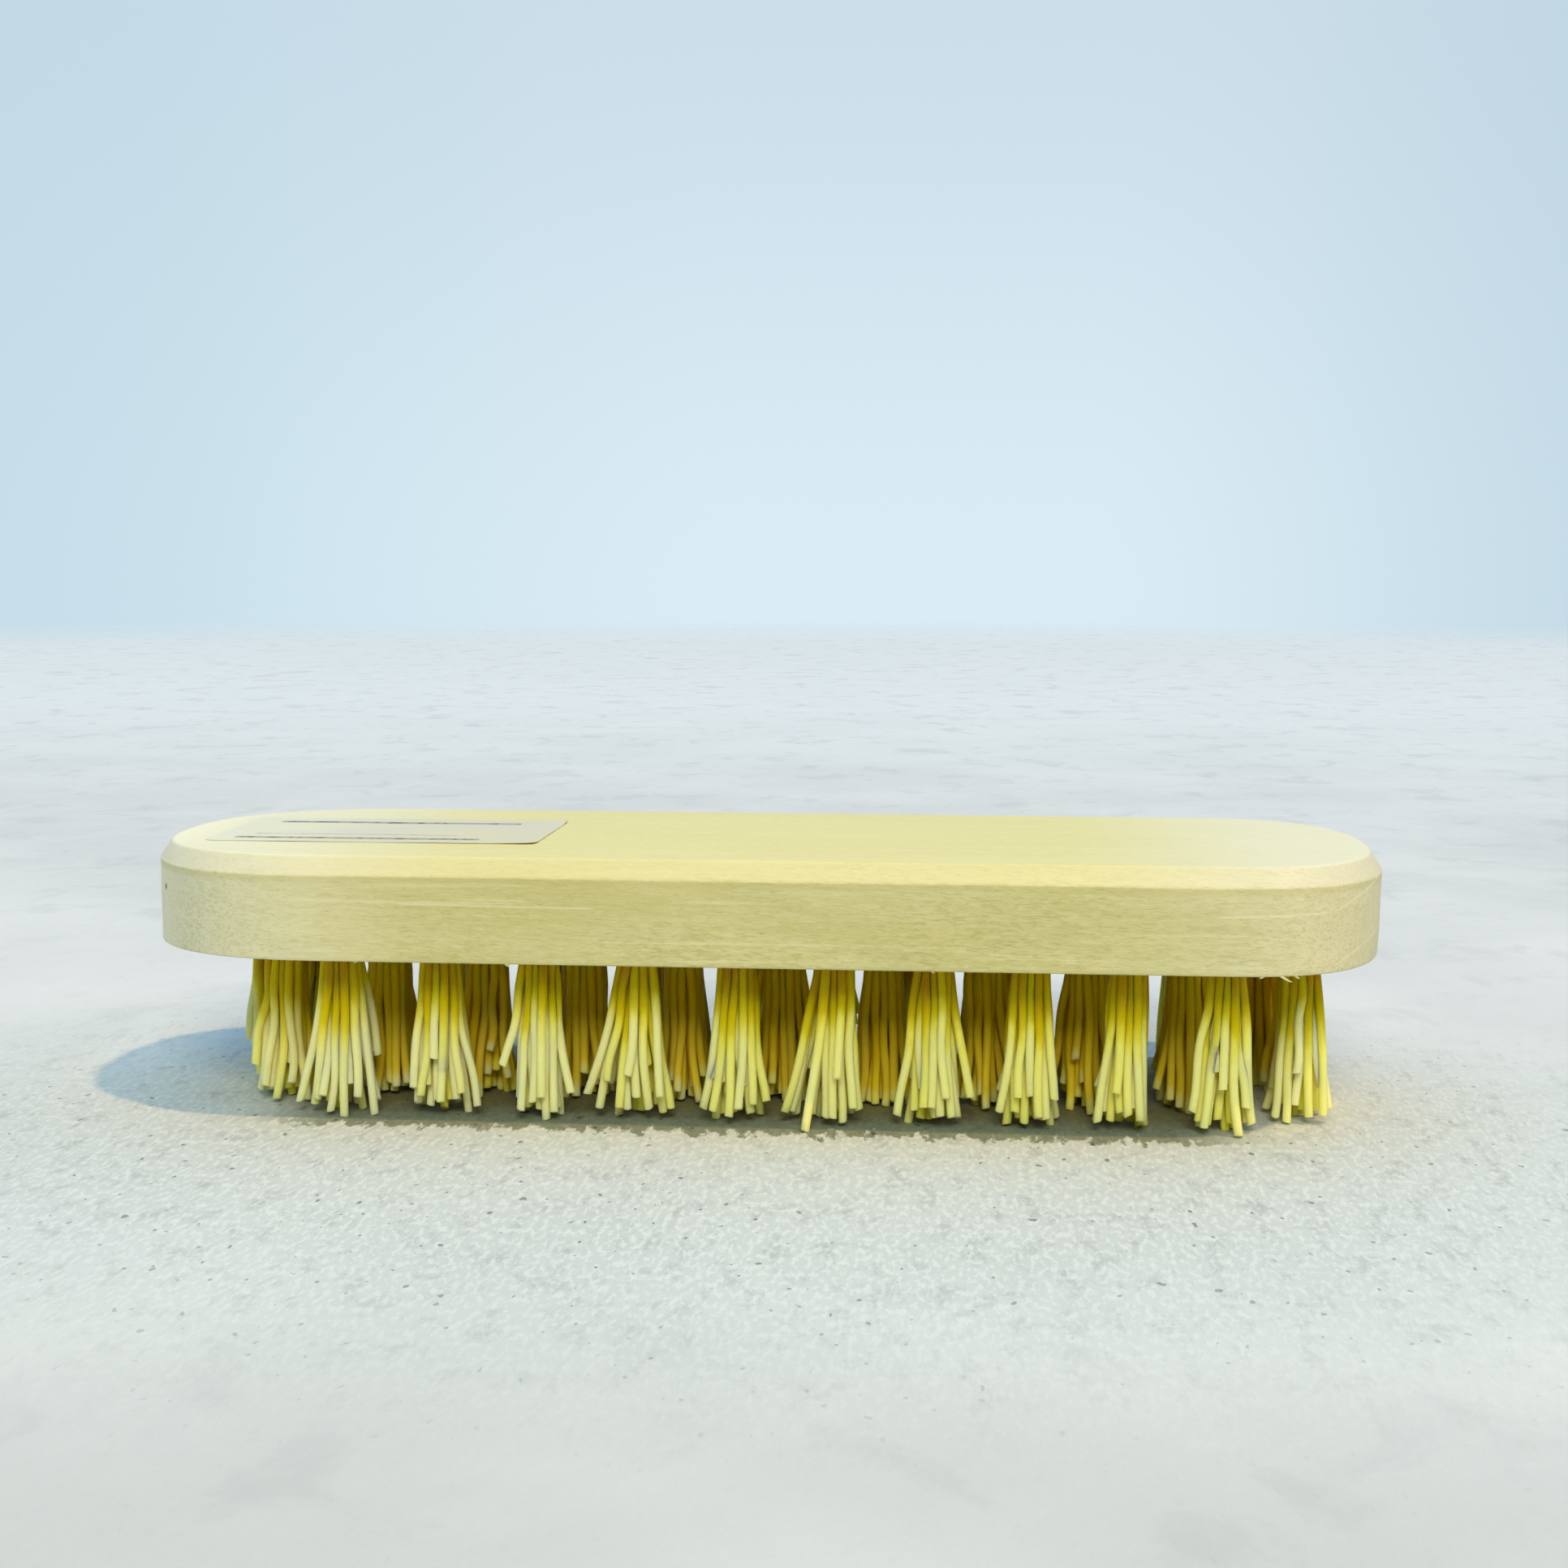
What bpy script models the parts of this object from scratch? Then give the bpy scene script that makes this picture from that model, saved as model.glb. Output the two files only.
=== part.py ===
"""A wooden hand scrubbing brush: a drilled block, its wire-set tufts and a label.

Metres, +Z up. The origin lies under the middle of the block, on the surface that the
longest bristles stand on. +X runs along the block and -Y is its front side.
"""

import math

import bmesh
import bpy
from mathutils import Vector
from mathutils.geometry import delaunay_2d_cdt

# Wood block
BLOCK_LENGTH = 0.150
BLOCK_WIDTH = 0.050
SIDE_HEIGHT = 0.010
CHAMFER_HEIGHT = 0.00225
CHAMFER_WIDTH = 0.0015
LEFT_END_LENGTH = 0.026
RIGHT_END_LENGTH = 0.0195
END_FULLNESS = 2.35
END_STEPS = 20

# Drilled holes, measured from the block's edges and from each other
HOLE_DIAMETER = 0.005
WOOD_OVER_HOLES = 0.00375
ROUND_SIDES = 10
FIELD_SHIFT = 0.0017
FIELD_END_MARGIN = 0.01045
ROW_SIDE_MARGIN = 0.010
OUTER_ROW_SETBACK = 0.01185
OUTER_ROW_PITCH = 0.0117
OUTER_ROW_BOW = 0.0012
FRONT_ROW_SHIFT = 0.0013
BACK_ROW_SHIFT = -0.001
INNER_FRONT_SETBACK = 0.0147
INNER_FRONT_PITCH = 0.0123
INNER_FRONT_SHIFT = 0.0013
INNER_BACK_SETBACK = 0.0128
INNER_BACK_PITCH = 0.0129
INNER_BACK_SHIFT = 0.0004
ARC_SIDE_OFFSET = 0.009
LEFT_ARC_FRONT_SETBACK = 0.0047
LEFT_ARC_BACK_SETBACK = 0.0037
RIGHT_ARC_FRONT_SETBACK = 0.0013
RIGHT_ARC_BACK_SETBACK = 0.00325

# Tufts: folded filaments held in the hole by a flat wire anchor
BRISTLE_LENGTH = 0.020
OUTER_STRANDS = 7
INNER_STRANDS = 3
STRAND_ROOT_RADIUS = 0.0005
STRAND_TIP_RADIUS = 0.00095
TUFT_LEAN = 0.0008
TIP_LEVEL_RANGE = 0.0018
TIP_TRIM = 0.0005
FOLD_HEIGHT = 0.0009
ANCHOR_WIRE_THICKNESS = 0.0004
ANCHOR_WIRE_HEIGHT = 0.002
ANCHOR_REACH = 0.00015

# Label film stuck on the top
LABEL_LENGTH = 0.041
LABEL_WIDTH = 0.023
LABEL_THICKNESS = 0.0002
LABEL_END_MARGIN = 0.0075
LABEL_SIDE_SHIFT = -0.0005

# Clearances
PLUG_CLEARANCE = 0.0003
LABEL_CLEARANCE = 0.0003
STRAND_GAP = 0.0001
PLUG_RIM = 0.0001
TIP_GAP = 0.0007
CUT_MARGIN = 0.001

# Derived sizes
BLOCK_THICKNESS = SIDE_HEIGHT + CHAMFER_HEIGHT
HOLE_DEPTH = BLOCK_THICKNESS - WOOD_OVER_HOLES
HOLE_RADIUS = HOLE_DIAMETER / 2
FLAT_FACTOR = math.cos(math.pi / ROUND_SIDES)
PLUG_RADIUS = HOLE_RADIUS - PLUG_CLEARANCE / FLAT_FACTOR
PLUG_DEPTH = HOLE_DEPTH - PLUG_CLEARANCE
FIELD_REACH = BLOCK_LENGTH / 2 - FIELD_END_MARGIN
OUTER_ROW_OFFSET = BLOCK_WIDTH / 2 - ROW_SIDE_MARGIN
INNER_ROW_OFFSET = OUTER_ROW_OFFSET / 3

# Spreads successive copies evenly over a range without a visible repeat
GOLDEN_STEP = 0.618034
SMOOTH_ANGLE = math.radians(40)


def clear_scene():
    for old in list(bpy.data.objects):
        bpy.data.objects.remove(old, do_unlink=True)


def spread(index):
    """A value from 0 to 1 that differs well between neighbouring indices."""
    return (index * GOLDEN_STEP) % 1.0


def make_material(name, colour, roughness):
    material = bpy.data.materials.new(name)
    material.use_nodes = True
    shader = material.node_tree.nodes["Principled BSDF"]
    shader.inputs["Base Color"].default_value = (*colour, 1.0)
    shader.inputs["Roughness"].default_value = roughness
    shader.inputs["Metallic"].default_value = 0.0
    return material


def add_object(name, bm, material, location, parent):
    bmesh.ops.recalc_face_normals(bm, faces=bm.faces[:])
    mesh = bpy.data.meshes.new(name)
    bm.to_mesh(mesh)
    bm.free()
    mesh.shade_smooth()
    mesh.set_sharp_from_angle(angle=SMOOTH_ANGLE)
    mesh.materials.append(material)
    item = bpy.data.objects.new(name, mesh)
    item.location = location
    item.parent = parent
    bpy.context.collection.objects.link(item)
    return item


def add_loop(bm, points):
    return [bm.verts.new(point) for point in points]


def bridge(bm, lower, upper):
    """Join two loops of as many points with quads, and return the quads."""
    count = len(lower)
    walls = []
    for i in range(count):
        j = (i + 1) % count
        walls.append(bm.faces.new((lower[i], lower[j], upper[j], upper[i])))
    return walls


def round_points(radius, height, centre=(0.0, 0.0)):
    """Corners of a hole or plug; its flats face along +X and -X."""
    points = []
    for i in range(ROUND_SIDES):
        angle = 2 * math.pi * (i + 0.5) / ROUND_SIDES
        x = centre[0] + radius * math.cos(angle)
        y = centre[1] + radius * math.sin(angle)
        points.append((x, y, height))
    return points


def end_points(tip_x, length, half_width, direction):
    """One rounded end, as a full superellipse quarter pair from side to side."""
    points = []
    for i in range(END_STEPS + 1):
        angle = math.pi * (i / END_STEPS - 0.5)
        along = abs(math.cos(angle)) ** (2 / END_FULLNESS)
        across = abs(math.sin(angle)) ** (2 / END_FULLNESS)
        x = tip_x - direction * length * (1 - along)
        y = direction * math.copysign(half_width * across, angle)
        points.append((x, y))
    return points


def block_outline(inset, height):
    """The block's outline, drawn in from its edge by the inset."""
    half_width = BLOCK_WIDTH / 2 - inset
    end_x = BLOCK_LENGTH / 2 - inset
    outline = end_points(end_x, RIGHT_END_LENGTH - inset, half_width, 1)
    outline += end_points(-end_x, LEFT_END_LENGTH - inset, half_width, -1)
    return [(x, y, height) for x, y in outline]


def row_places(name, offset, setback, pitch, shift, bow):
    """Names and places of one row, as many holes as its length takes.

    The shift moves the whole row along the block, and the bow only its middle.
    """
    half_span = FIELD_REACH - setback
    count = math.floor(2 * half_span / pitch + 1e-6) + 1
    places = []
    for i in range(count):
        step = i - (count - 1) / 2
        along = 2 * step / max(count - 1, 1)
        x = FIELD_SHIFT + shift + step * pitch + bow * (1 - along**2)
        places.append((f"tuft_{name}_{i + 1:02d}", x, offset))
    return places


def arc_places(name, direction, front_setback, back_setback):
    """Names and places of the three holes that close the field at one end."""
    end_x = FIELD_SHIFT + direction * FIELD_REACH
    front = (end_x - direction * front_setback, -ARC_SIDE_OFFSET)
    back = (end_x - direction * back_setback, ARC_SIDE_OFFSET)
    spots = [front, (end_x, 0.0), back]
    return [(f"tuft_{name}_{i + 1}", x, y) for i, (x, y) in enumerate(spots)]


def hole_places():
    """Two bowed outer rows, two straight inner rows and an arc at each end."""
    outer = (OUTER_ROW_SETBACK, OUTER_ROW_PITCH)
    inner_front = (INNER_FRONT_SETBACK, INNER_FRONT_PITCH, INNER_FRONT_SHIFT, 0.0)
    inner_back = (INNER_BACK_SETBACK, INNER_BACK_PITCH, INNER_BACK_SHIFT, 0.0)
    places = arc_places("left_end", -1, LEFT_ARC_FRONT_SETBACK, LEFT_ARC_BACK_SETBACK)
    places += row_places("front", -OUTER_ROW_OFFSET, *outer, FRONT_ROW_SHIFT, OUTER_ROW_BOW)
    places += row_places("inner_front", -INNER_ROW_OFFSET, *inner_front)
    places += row_places("inner_back", INNER_ROW_OFFSET, *inner_back)
    places += row_places("back", OUTER_ROW_OFFSET, *outer, BACK_ROW_SHIFT, OUTER_ROW_BOW)
    places += arc_places("right_end", 1, RIGHT_ARC_FRONT_SETBACK, RIGHT_ARC_BACK_SETBACK)
    return places


def lean_of(x, y):
    """How far a tuft's tips lean out, away from the middle of the field."""
    along = (x - FIELD_SHIFT) / FIELD_REACH
    across = y / OUTER_ROW_OFFSET
    return Vector((TUFT_LEAN * along**3, TUFT_LEAN * across**3))


def least_tip_spacing(places):
    """The shortest distance between the middles of two tufts at their tips."""
    middles = [Vector((x, y)) + lean_of(x, y) for _, x, y in places]
    spacings = []
    for i, one in enumerate(middles):
        spacings += [(one - other).length for other in middles[i + 1:]]
    return min(spacings)


def make_hole_cutter(places, material, parent):
    bm = bmesh.new()
    for _, x, y in places:
        lower = add_loop(bm, round_points(HOLE_RADIUS, -CUT_MARGIN, (x, y)))
        upper = add_loop(bm, round_points(HOLE_RADIUS, HOLE_DEPTH, (x, y)))
        bridge(bm, lower, upper)
        bm.faces.new(lower)
        bm.faces.new(upper)
    cutter = add_object("hole_cutter", bm, material, (0, 0, BRISTLE_LENGTH), parent)
    cutter.hide_render = True
    cutter.display_type = "WIRE"
    return cutter


def make_block(cutter, material, parent):
    """The wood block, chamfered round its top edge and drilled from below."""
    bm = bmesh.new()
    underside = add_loop(bm, block_outline(0.0, 0.0))
    shoulder = add_loop(bm, block_outline(0.0, SIDE_HEIGHT))
    top = add_loop(bm, block_outline(CHAMFER_WIDTH, BLOCK_THICKNESS))
    bridge(bm, underside, shoulder)
    bridge(bm, shoulder, top)
    bm.faces.new(underside)
    bm.faces.new(top)
    block = add_object("wood_block", bm, material, (0, 0, BRISTLE_LENGTH), parent)
    drill = block.modifiers.new("drilled_holes", "BOOLEAN")
    drill.operation = "DIFFERENCE"
    drill.object = cutter
    return block


def make_label(material, parent):
    bm = bmesh.new()
    bmesh.ops.create_cube(bm, size=1.0)
    bmesh.ops.scale(bm, vec=(LABEL_LENGTH, LABEL_WIDTH, LABEL_THICKNESS), verts=bm.verts[:])
    x = -BLOCK_LENGTH / 2 + LABEL_END_MARGIN + LABEL_LENGTH / 2
    z = BRISTLE_LENGTH + BLOCK_THICKNESS + LABEL_CLEARANCE + LABEL_THICKNESS / 2
    return add_object("label", bm, material, (x, LABEL_SIDE_SHIFT, z), parent)


def raise_anchor_end(bm, wall):
    """Raise the flat wire's end on the plug wall that it comes through."""
    outward = math.copysign(1.0, wall.calc_center_median().x)
    bmesh.ops.inset_individual(bm, faces=[wall], thickness=ANCHOR_WIRE_THICKNESS / 2)
    middle = sum(v.co.z for v in wall.verts) / len(wall.verts)
    top = PLUG_DEPTH - FOLD_HEIGHT - ANCHOR_WIRE_THICKNESS
    for corner in wall.verts:
        corner.co.y = math.copysign(ANCHOR_WIRE_THICKNESS / 2, corner.co.y)
        corner.co.z = top if corner.co.z > middle else top - ANCHOR_WIRE_HEIGHT
    raised = bmesh.ops.extrude_discrete_faces(bm, faces=[wall])["faces"]
    for corner in raised[0].verts:
        corner.co.x += outward * ANCHOR_REACH


def close_fold(bm, loop):
    """Close the plug's inner end with the ridge where the filaments fold over."""
    ridge = {}
    for side in (1, -1):
        ridge[side] = bm.verts.new((side * PLUG_RADIUS / 2, 0.0, PLUG_DEPTH))
    count = len(loop)
    for i in range(count):
        here = loop[i]
        after = loop[(i + 1) % count]
        side = 1 if here.co.x + after.co.x > 0 else -1
        bm.faces.new((here, after, ridge[side]))
    for sign in (1, -1):
        middle = max(loop, key=lambda corner: sign * corner.co.y)
        bm.faces.new((middle, ridge[-sign], ridge[sign]))


def strand_rings(tip_reach):
    """Each ring of strands: its count, and its radius at the root and at the tip."""
    flat_reach = PLUG_RADIUS * FLAT_FACTOR - PLUG_RIM
    half_side = STRAND_ROOT_RADIUS * math.sin(math.pi / 3)
    outer_root = math.sqrt(flat_reach**2 - half_side**2) - STRAND_ROOT_RADIUS / 2
    inner_root = (2 * STRAND_ROOT_RADIUS + STRAND_GAP) / math.sqrt(3)
    outer_tip = tip_reach - STRAND_TIP_RADIUS
    inner_tip = inner_root * outer_tip / outer_root
    return [(OUTER_STRANDS, outer_root, outer_tip), (INNER_STRANDS, inner_root, inner_tip)]


def strand_lines(order, x, y, tip_reach):
    """Angle, root middle, full-length tip middle and tip level of each strand."""
    lean = lean_of(x, y)
    lines = []
    for ring, (count, root_radius, tip_radius) in enumerate(strand_rings(tip_reach)):
        turn = 2 * math.pi * spread(order + ring)
        for i in range(count):
            angle = turn + 2 * math.pi * i / count
            way = Vector((math.cos(angle), math.sin(angle)))
            number = order * (OUTER_STRANDS + INNER_STRANDS) + len(lines)
            level = (TIP_LEVEL_RANGE + TIP_TRIM) * spread(number) - TIP_TRIM
            lines.append((angle, way * root_radius, way * tip_radius + lean, max(level, 0.0)))
    return lines


def strand_section(line, share):
    """The three corners of a strand, the share of the way from its root to the ground."""
    angle, root, tip, _ = line
    middle = root.lerp(tip, share)
    radius = STRAND_ROOT_RADIUS + share * (STRAND_TIP_RADIUS - STRAND_ROOT_RADIUS)
    corners = []
    for third in (1 / 3, 1, 5 / 3):
        way = angle + math.pi * third
        corner = middle + radius * Vector((math.cos(way), math.sin(way)))
        corners.append((corner.x, corner.y, -BRISTLE_LENGTH * share))
    return corners


def close_mouth(bm, rim, roots):
    """Fill the plug's outer face between its rim and the roots of the strands."""
    loops = [rim, *roots]
    verts = [corner for loop in loops for corner in loop]
    index = {corner: i for i, corner in enumerate(verts)}
    edges = []
    for loop in loops:
        edges += [(index[a], index[b]) for a, b in zip(loop, loop[1:] + loop[:1])]
    flat = [corner.co.xy for corner in verts]
    faces = delaunay_2d_cdt(flat, edges, [], 0, 1e-9)[2]
    taken = [{index[corner] for corner in root} for root in roots]
    for face in faces:
        if set(face) not in taken:
            bm.faces.new([verts[i] for i in face])


def make_tuft(order, place, tip_reach, material, parent):
    """One tuft: the folded plug in its hole, the wire's ends and the free strands."""
    name, x, y = place
    bm = bmesh.new()
    rim = add_loop(bm, round_points(PLUG_RADIUS, 0.0))
    shoulder = add_loop(bm, round_points(PLUG_RADIUS, PLUG_DEPTH - FOLD_HEIGHT))
    walls = bridge(bm, rim, shoulder)
    close_fold(bm, shoulder)
    roots = []
    for line in strand_lines(order, x, y, tip_reach):
        share = 1 - line[3] / BRISTLE_LENGTH
        root = add_loop(bm, strand_section(line, 0.0))
        tip = add_loop(bm, strand_section(line, share))
        bridge(bm, root, tip)
        bm.faces.new(tip)
        roots.append(root)
    close_mouth(bm, rim, roots)
    bmesh.ops.recalc_face_normals(bm, faces=bm.faces[:])
    by_x = sorted(walls, key=lambda wall: wall.calc_center_median().x)
    for wall in (by_x[0], by_x[-1]):
        raise_anchor_end(bm, wall)
    return add_object(name, bm, material, (x, y, BRISTLE_LENGTH), parent)


def least_strand_gap(places, tip_reach):
    """The least gap between two strands, taken as round, from root to tip."""
    least = math.inf
    for share in (0.0, 0.5, 1.0):
        radius = STRAND_ROOT_RADIUS + share * (STRAND_TIP_RADIUS - STRAND_ROOT_RADIUS)
        middles = []
        for order, (_, x, y) in enumerate(places):
            for line in strand_lines(order, x, y, tip_reach):
                middles.append(Vector((x, y)) + line[1].lerp(line[2], share))
        for i, one in enumerate(middles):
            for other in middles[i + 1:]:
                least = min(least, (one - other).length - 2 * radius)
    return least


def build():
    clear_scene()
    wood = make_material("pale_wood", (0.76, 0.68, 0.36), 0.6)
    plastic = make_material("yellow_bristle", (0.80, 0.66, 0.12), 0.4)
    film = make_material("label_film", (0.70, 0.70, 0.64), 0.35)
    brush = bpy.data.objects.new("hand_brush", None)
    bpy.context.collection.objects.link(brush)

    places = hole_places()
    tip_reach = (least_tip_spacing(places) - TIP_GAP) / 2
    cutter = make_hole_cutter(places, wood, brush)
    make_block(cutter, wood, brush)
    make_label(film, brush)
    for order, place in enumerate(places):
        make_tuft(order, place, tip_reach, plastic, brush)

    strands = len(places) * (OUTER_STRANDS + INNER_STRANDS)
    gap = least_strand_gap(places, tip_reach)
    print(f"{len(places)} tufts, {strands} strands, least gap {gap * 1000:.2f} mm")
    bpy.context.view_layer.update()


build()
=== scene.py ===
"""A wooden hand scrubbing brush, standing on its yellow bristles on a pale floor.

Metres, +Z up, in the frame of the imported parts: the origin lies under the middle of the
block, +X runs along the block and -Y is the side that the camera sees.
"""

import math
from typing import NamedTuple

import bmesh
import bpy
import numpy as np
from mathutils import Matrix, Vector


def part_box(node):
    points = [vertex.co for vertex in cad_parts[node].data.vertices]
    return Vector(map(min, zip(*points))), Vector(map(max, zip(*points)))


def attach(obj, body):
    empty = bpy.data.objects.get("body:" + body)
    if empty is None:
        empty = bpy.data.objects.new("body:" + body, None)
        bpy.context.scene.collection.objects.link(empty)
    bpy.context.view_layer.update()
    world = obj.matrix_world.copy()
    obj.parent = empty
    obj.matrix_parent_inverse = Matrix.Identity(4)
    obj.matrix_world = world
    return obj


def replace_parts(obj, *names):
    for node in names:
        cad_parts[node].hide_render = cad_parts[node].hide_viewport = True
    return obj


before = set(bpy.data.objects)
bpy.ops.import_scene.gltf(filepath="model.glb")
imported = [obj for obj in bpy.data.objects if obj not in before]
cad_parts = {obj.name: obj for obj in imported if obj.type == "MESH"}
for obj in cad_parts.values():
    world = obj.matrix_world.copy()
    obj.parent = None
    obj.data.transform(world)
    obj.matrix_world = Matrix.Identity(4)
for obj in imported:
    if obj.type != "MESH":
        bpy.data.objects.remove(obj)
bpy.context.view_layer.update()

MM = 0.001
BODY = "root"


class Pattern(NamedTuple):
    """A noise pattern, drawn out by stretch along each of its turned axes."""

    stretch: tuple
    scale: float
    detail: float
    roughness: float
    distortion: float = 0.0
    shift: tuple = (0.0, 0.0, 0.0)
    turn: tuple = (0.0, 0.0, 0.0)


class Mark(NamedTuple):
    """A colour that comes to cover its share where a value passes from low to high."""

    low: float
    high: float
    share: float
    colour: tuple


# Camera: place, turns in radians, and lens on a 36 mm sensor
CAMERA_PLACE = (0.026655, -0.27669, 0.067745)
CAMERA_YAW = 0.0868
CAMERA_PITCH = -0.1044
CAMERA_ROLL = -0.0012
CAMERA_LENS = 51.577
SENSOR_WIDTH = 36.0

# Light: the key comes from the upper right and from the front
KEY_PLACE = (0.5, -0.2, 0.8)
KEY_WAY = (0.42, -0.27, 1.0)
KEY_STRENGTH = 1.70
KEY_ANGLE = math.radians(2.5)
KEY_COLOUR = (1.0, 0.63, 0.29)
FRONT_PLACE = (0.10, -0.80, 0.62)
FRONT_SIZE = 0.34
FRONT_POWER = 5.8
FRONT_COLOUR = (1.0, 0.94, 0.76)
FILL_FRONT = (0.05, 0.06, 0.07)
FILL_BACK = (0.22, 0.23, 0.25)
FILL_TURN = 0.6
FILL_UP = (0.50, 0.89, 1.38)
FILL_UP_SPAN = (0.35, 0.95)

# Backdrop, as the camera sees it: by height, then by how far to the left and right
SKY_TOP = (0.600, 0.725, 0.815)
SKY_LOW = (0.700, 0.838, 0.915)
SKY_HEIGHTS = (-0.02, 0.26)
SKY_LEFT = Mark(-0.10, -0.48, 0.75, (0.500, 0.685, 0.775))
SKY_RIGHT = Mark(0.04, 0.30, 0.75, (0.500, 0.655, 0.750))

# Floor: its patterns, and its colours by pattern or by distance from the brush
FLOOR_RADIUS = 2.2
FLOOR_SEGMENTS = 96
FLOOR_FADE = (1.25, 1.95)
FLOOR_PATTERNS = {
    "clouds": Pattern((1.0, 1.0, 1.0), 14.0, 4.0, 0.55),
    "stains": Pattern((1.0, 1.4, 1.0), 70.0, 4.0, 0.6, 0.6, (0.4, 0.2, 0.0)),
    "grain": Pattern((1.2, 2.6, 1.0), 420.0, 5.0, 0.70),
    "grit": Pattern((1.0, 2.8, 1.0), 1500.0, 2.0, 0.6, shift=(0.2, 0.1, 0.0)),
    "specks": Pattern((1.2, 2.2, 1.0), 950.0, 1.0, 0.5, shift=(0.2, 0.3, 0.0)),
    # The edge pattern makes the edge of the painted shadow under the block uneven
    "edge": Pattern((1.0, 3.0, 1.0), 420.0, 3.0, 0.7),
}
CLOUD_SPAN = (0.35, 0.65)
FLOOR_COLOUR = (0.640, 0.664, 0.626)
FLOOR_PALE = (0.718, 0.738, 0.692)
FLOOR_MARKS = (
    # Painted shade and warm bounce light: the floor is darker and warmer close to the brush
    ("distance", None, Mark(0.12, 0.03, 0.65, (0.450, 0.515, 0.478))),
    ("distance", None, Mark(0.20, 0.80, 0.85, (0.860, 0.915, 0.862))),
    ("stains", None, Mark(0.52, 0.70, 0.40, (0.52, 0.55, 0.52))),
    ("grain", "clear", Mark(0.48, 0.70, 0.75, (0.38, 0.41, 0.38))),
    ("grit", "clear", Mark(0.54, 0.36, 0.35, (0.84, 0.87, 0.81))),
    ("specks", "clear", Mark(0.71, 0.75, 0.80, (0.14, 0.16, 0.15))),
)
# The distance is taken from this place, in an oval along x; the grain is clear near it
OVAL_MIDDLE = (0.0, -0.025, 0.0)
OVAL_STRETCH = (1.7, 1.0, 1.0)
CLEAR_GRAIN = (0.100, 0.035, 0.06, 1.0)
NEAR_DIMMING = (-0.080, -0.135, 1.0, 0.80)
FLOOR_ROUGHNESS = (0.55, 0.75)
FLOOR_SPECULAR = 0.3
FLOOR_RELIEF = (0.3 * MM, 0.35)
# Painted shadow: the floor colour is darker under the block, with an uneven edge; spans of |y| and
# |x|, from outside in
PAINTED_SHADOW_COLOUR = (0.35, 0.375, 0.285)
PAINTED_SHADOW_WIDTH = (0.0230, 0.0212)
PAINTED_SHADOW_LENGTH = (0.063, 0.048)
PAINTED_SHADOW_EDGE_REACH = 0.018
# A deeper painted shadow nearer the middle under the block, by |y|, from outside in
DEEP_PAINTED_SHADOW_COLOUR = (0.76, 0.66, 0.44)
DEEP_PAINTED_SHADOW_WIDTH = (0.0170, 0.0080)

# Block: the rounded ends and the profile of its edge
LEFT_END_LENGTH = 26.0 * MM
RIGHT_END_LENGTH = 19.5 * MM
END_FULLNESS = 2.35
END_STEPS = 64
OUTLINE_SPACING = 0.6 * MM
CHAMFER_WIDTH = 1.5 * MM
CHAMFER_HEIGHT = 2.25 * MM
SHOULDER_RADIUS = 0.4 * MM
TOP_EDGE_RADIUS = 0.8 * MM
UNDER_EDGE_RADIUS = 0.2 * MM
UNDER_EDGE_STEPS = 3
FLAT_RIM = 0.8 * MM
SIDE_ROWS = 24
BLOCK_SMOOTH_ANGLE = 38
HOLE_RADIUS = 2.5 * MM
HOLE_DEPTH = 8.5 * MM
HOLE_CONE = 0.6 * MM
HOLE_SIDES = 24
CUTTER_OVERLAP = 1.0 * MM
PIN_PLACE = (-0.0712, -0.0150, 0.0270)
PIN_WAY = (0.75, 0.65, 0.1)
PIN_RADIUS = 0.32 * MM
PIN_DEPTH = 1.4 * MM
PIN_SIDES = 12

# Ridges between two passes of sanding, as (x, height) in mm, and the slope below them
RIDGES = (
    (((54.0, 26.6), (63.0, 27.0), (67.0, 27.2), (70.0, 28.9), (73.5, 30.0)), 0.024),
    (((64.0, 19.5), (68.1, 21.7), (70.8, 23.0), (73.4, 23.6)), 0.030),
    (((-73.5, 27.2), (-70.0, 25.5), (-64.4, 22.5), (-60.0, 20.0)), 0.006),
)
RIDGE_FADE = 7 * MM
# Unevenness of the side: size and length of each wave in mm, and its start
SIDE_WAVES = ((0.045, 6.1, 1.3), (0.03, 2.3, 0.4))
SLANTED_WAVE = (0.03, 3.7, 2.1)
SANDED_OFF = 0.03 * MM
EDGE_LIFT = 0.10 * MM
EDGE_LIFT_LENGTH = 9.0 * MM
EDGE_LIFT_START = 2.0

# Splinters at the lower edge: x, length, lean along x and lean outward, in mm
SPLINTERS = (
    (60.6, 1.7, 0.8, -0.5),
    (62.3, 1.1, 0.5, 0.9),
    (58.8, 0.8, -0.6, -0.3),
    (-27.6, 0.9, 0.5, -0.6),
    (-27.0, 0.6, -0.4, -0.8),
    (21.5, 0.7, 0.5, -0.2),
    (-45.0, 0.6, -0.5, -0.4),
)
# Share of the splinter's length and half width in mm at each of its rings
SPLINTER_RINGS = ((0.0, 0.16), (0.5, 0.13), (0.85, 0.06))
SPLINTER_SIDES = 5
SPLINTER_FLATNESS = 0.45
SPLINTER_ROOT = (0.25 * MM, 0.12 * MM)

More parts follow.
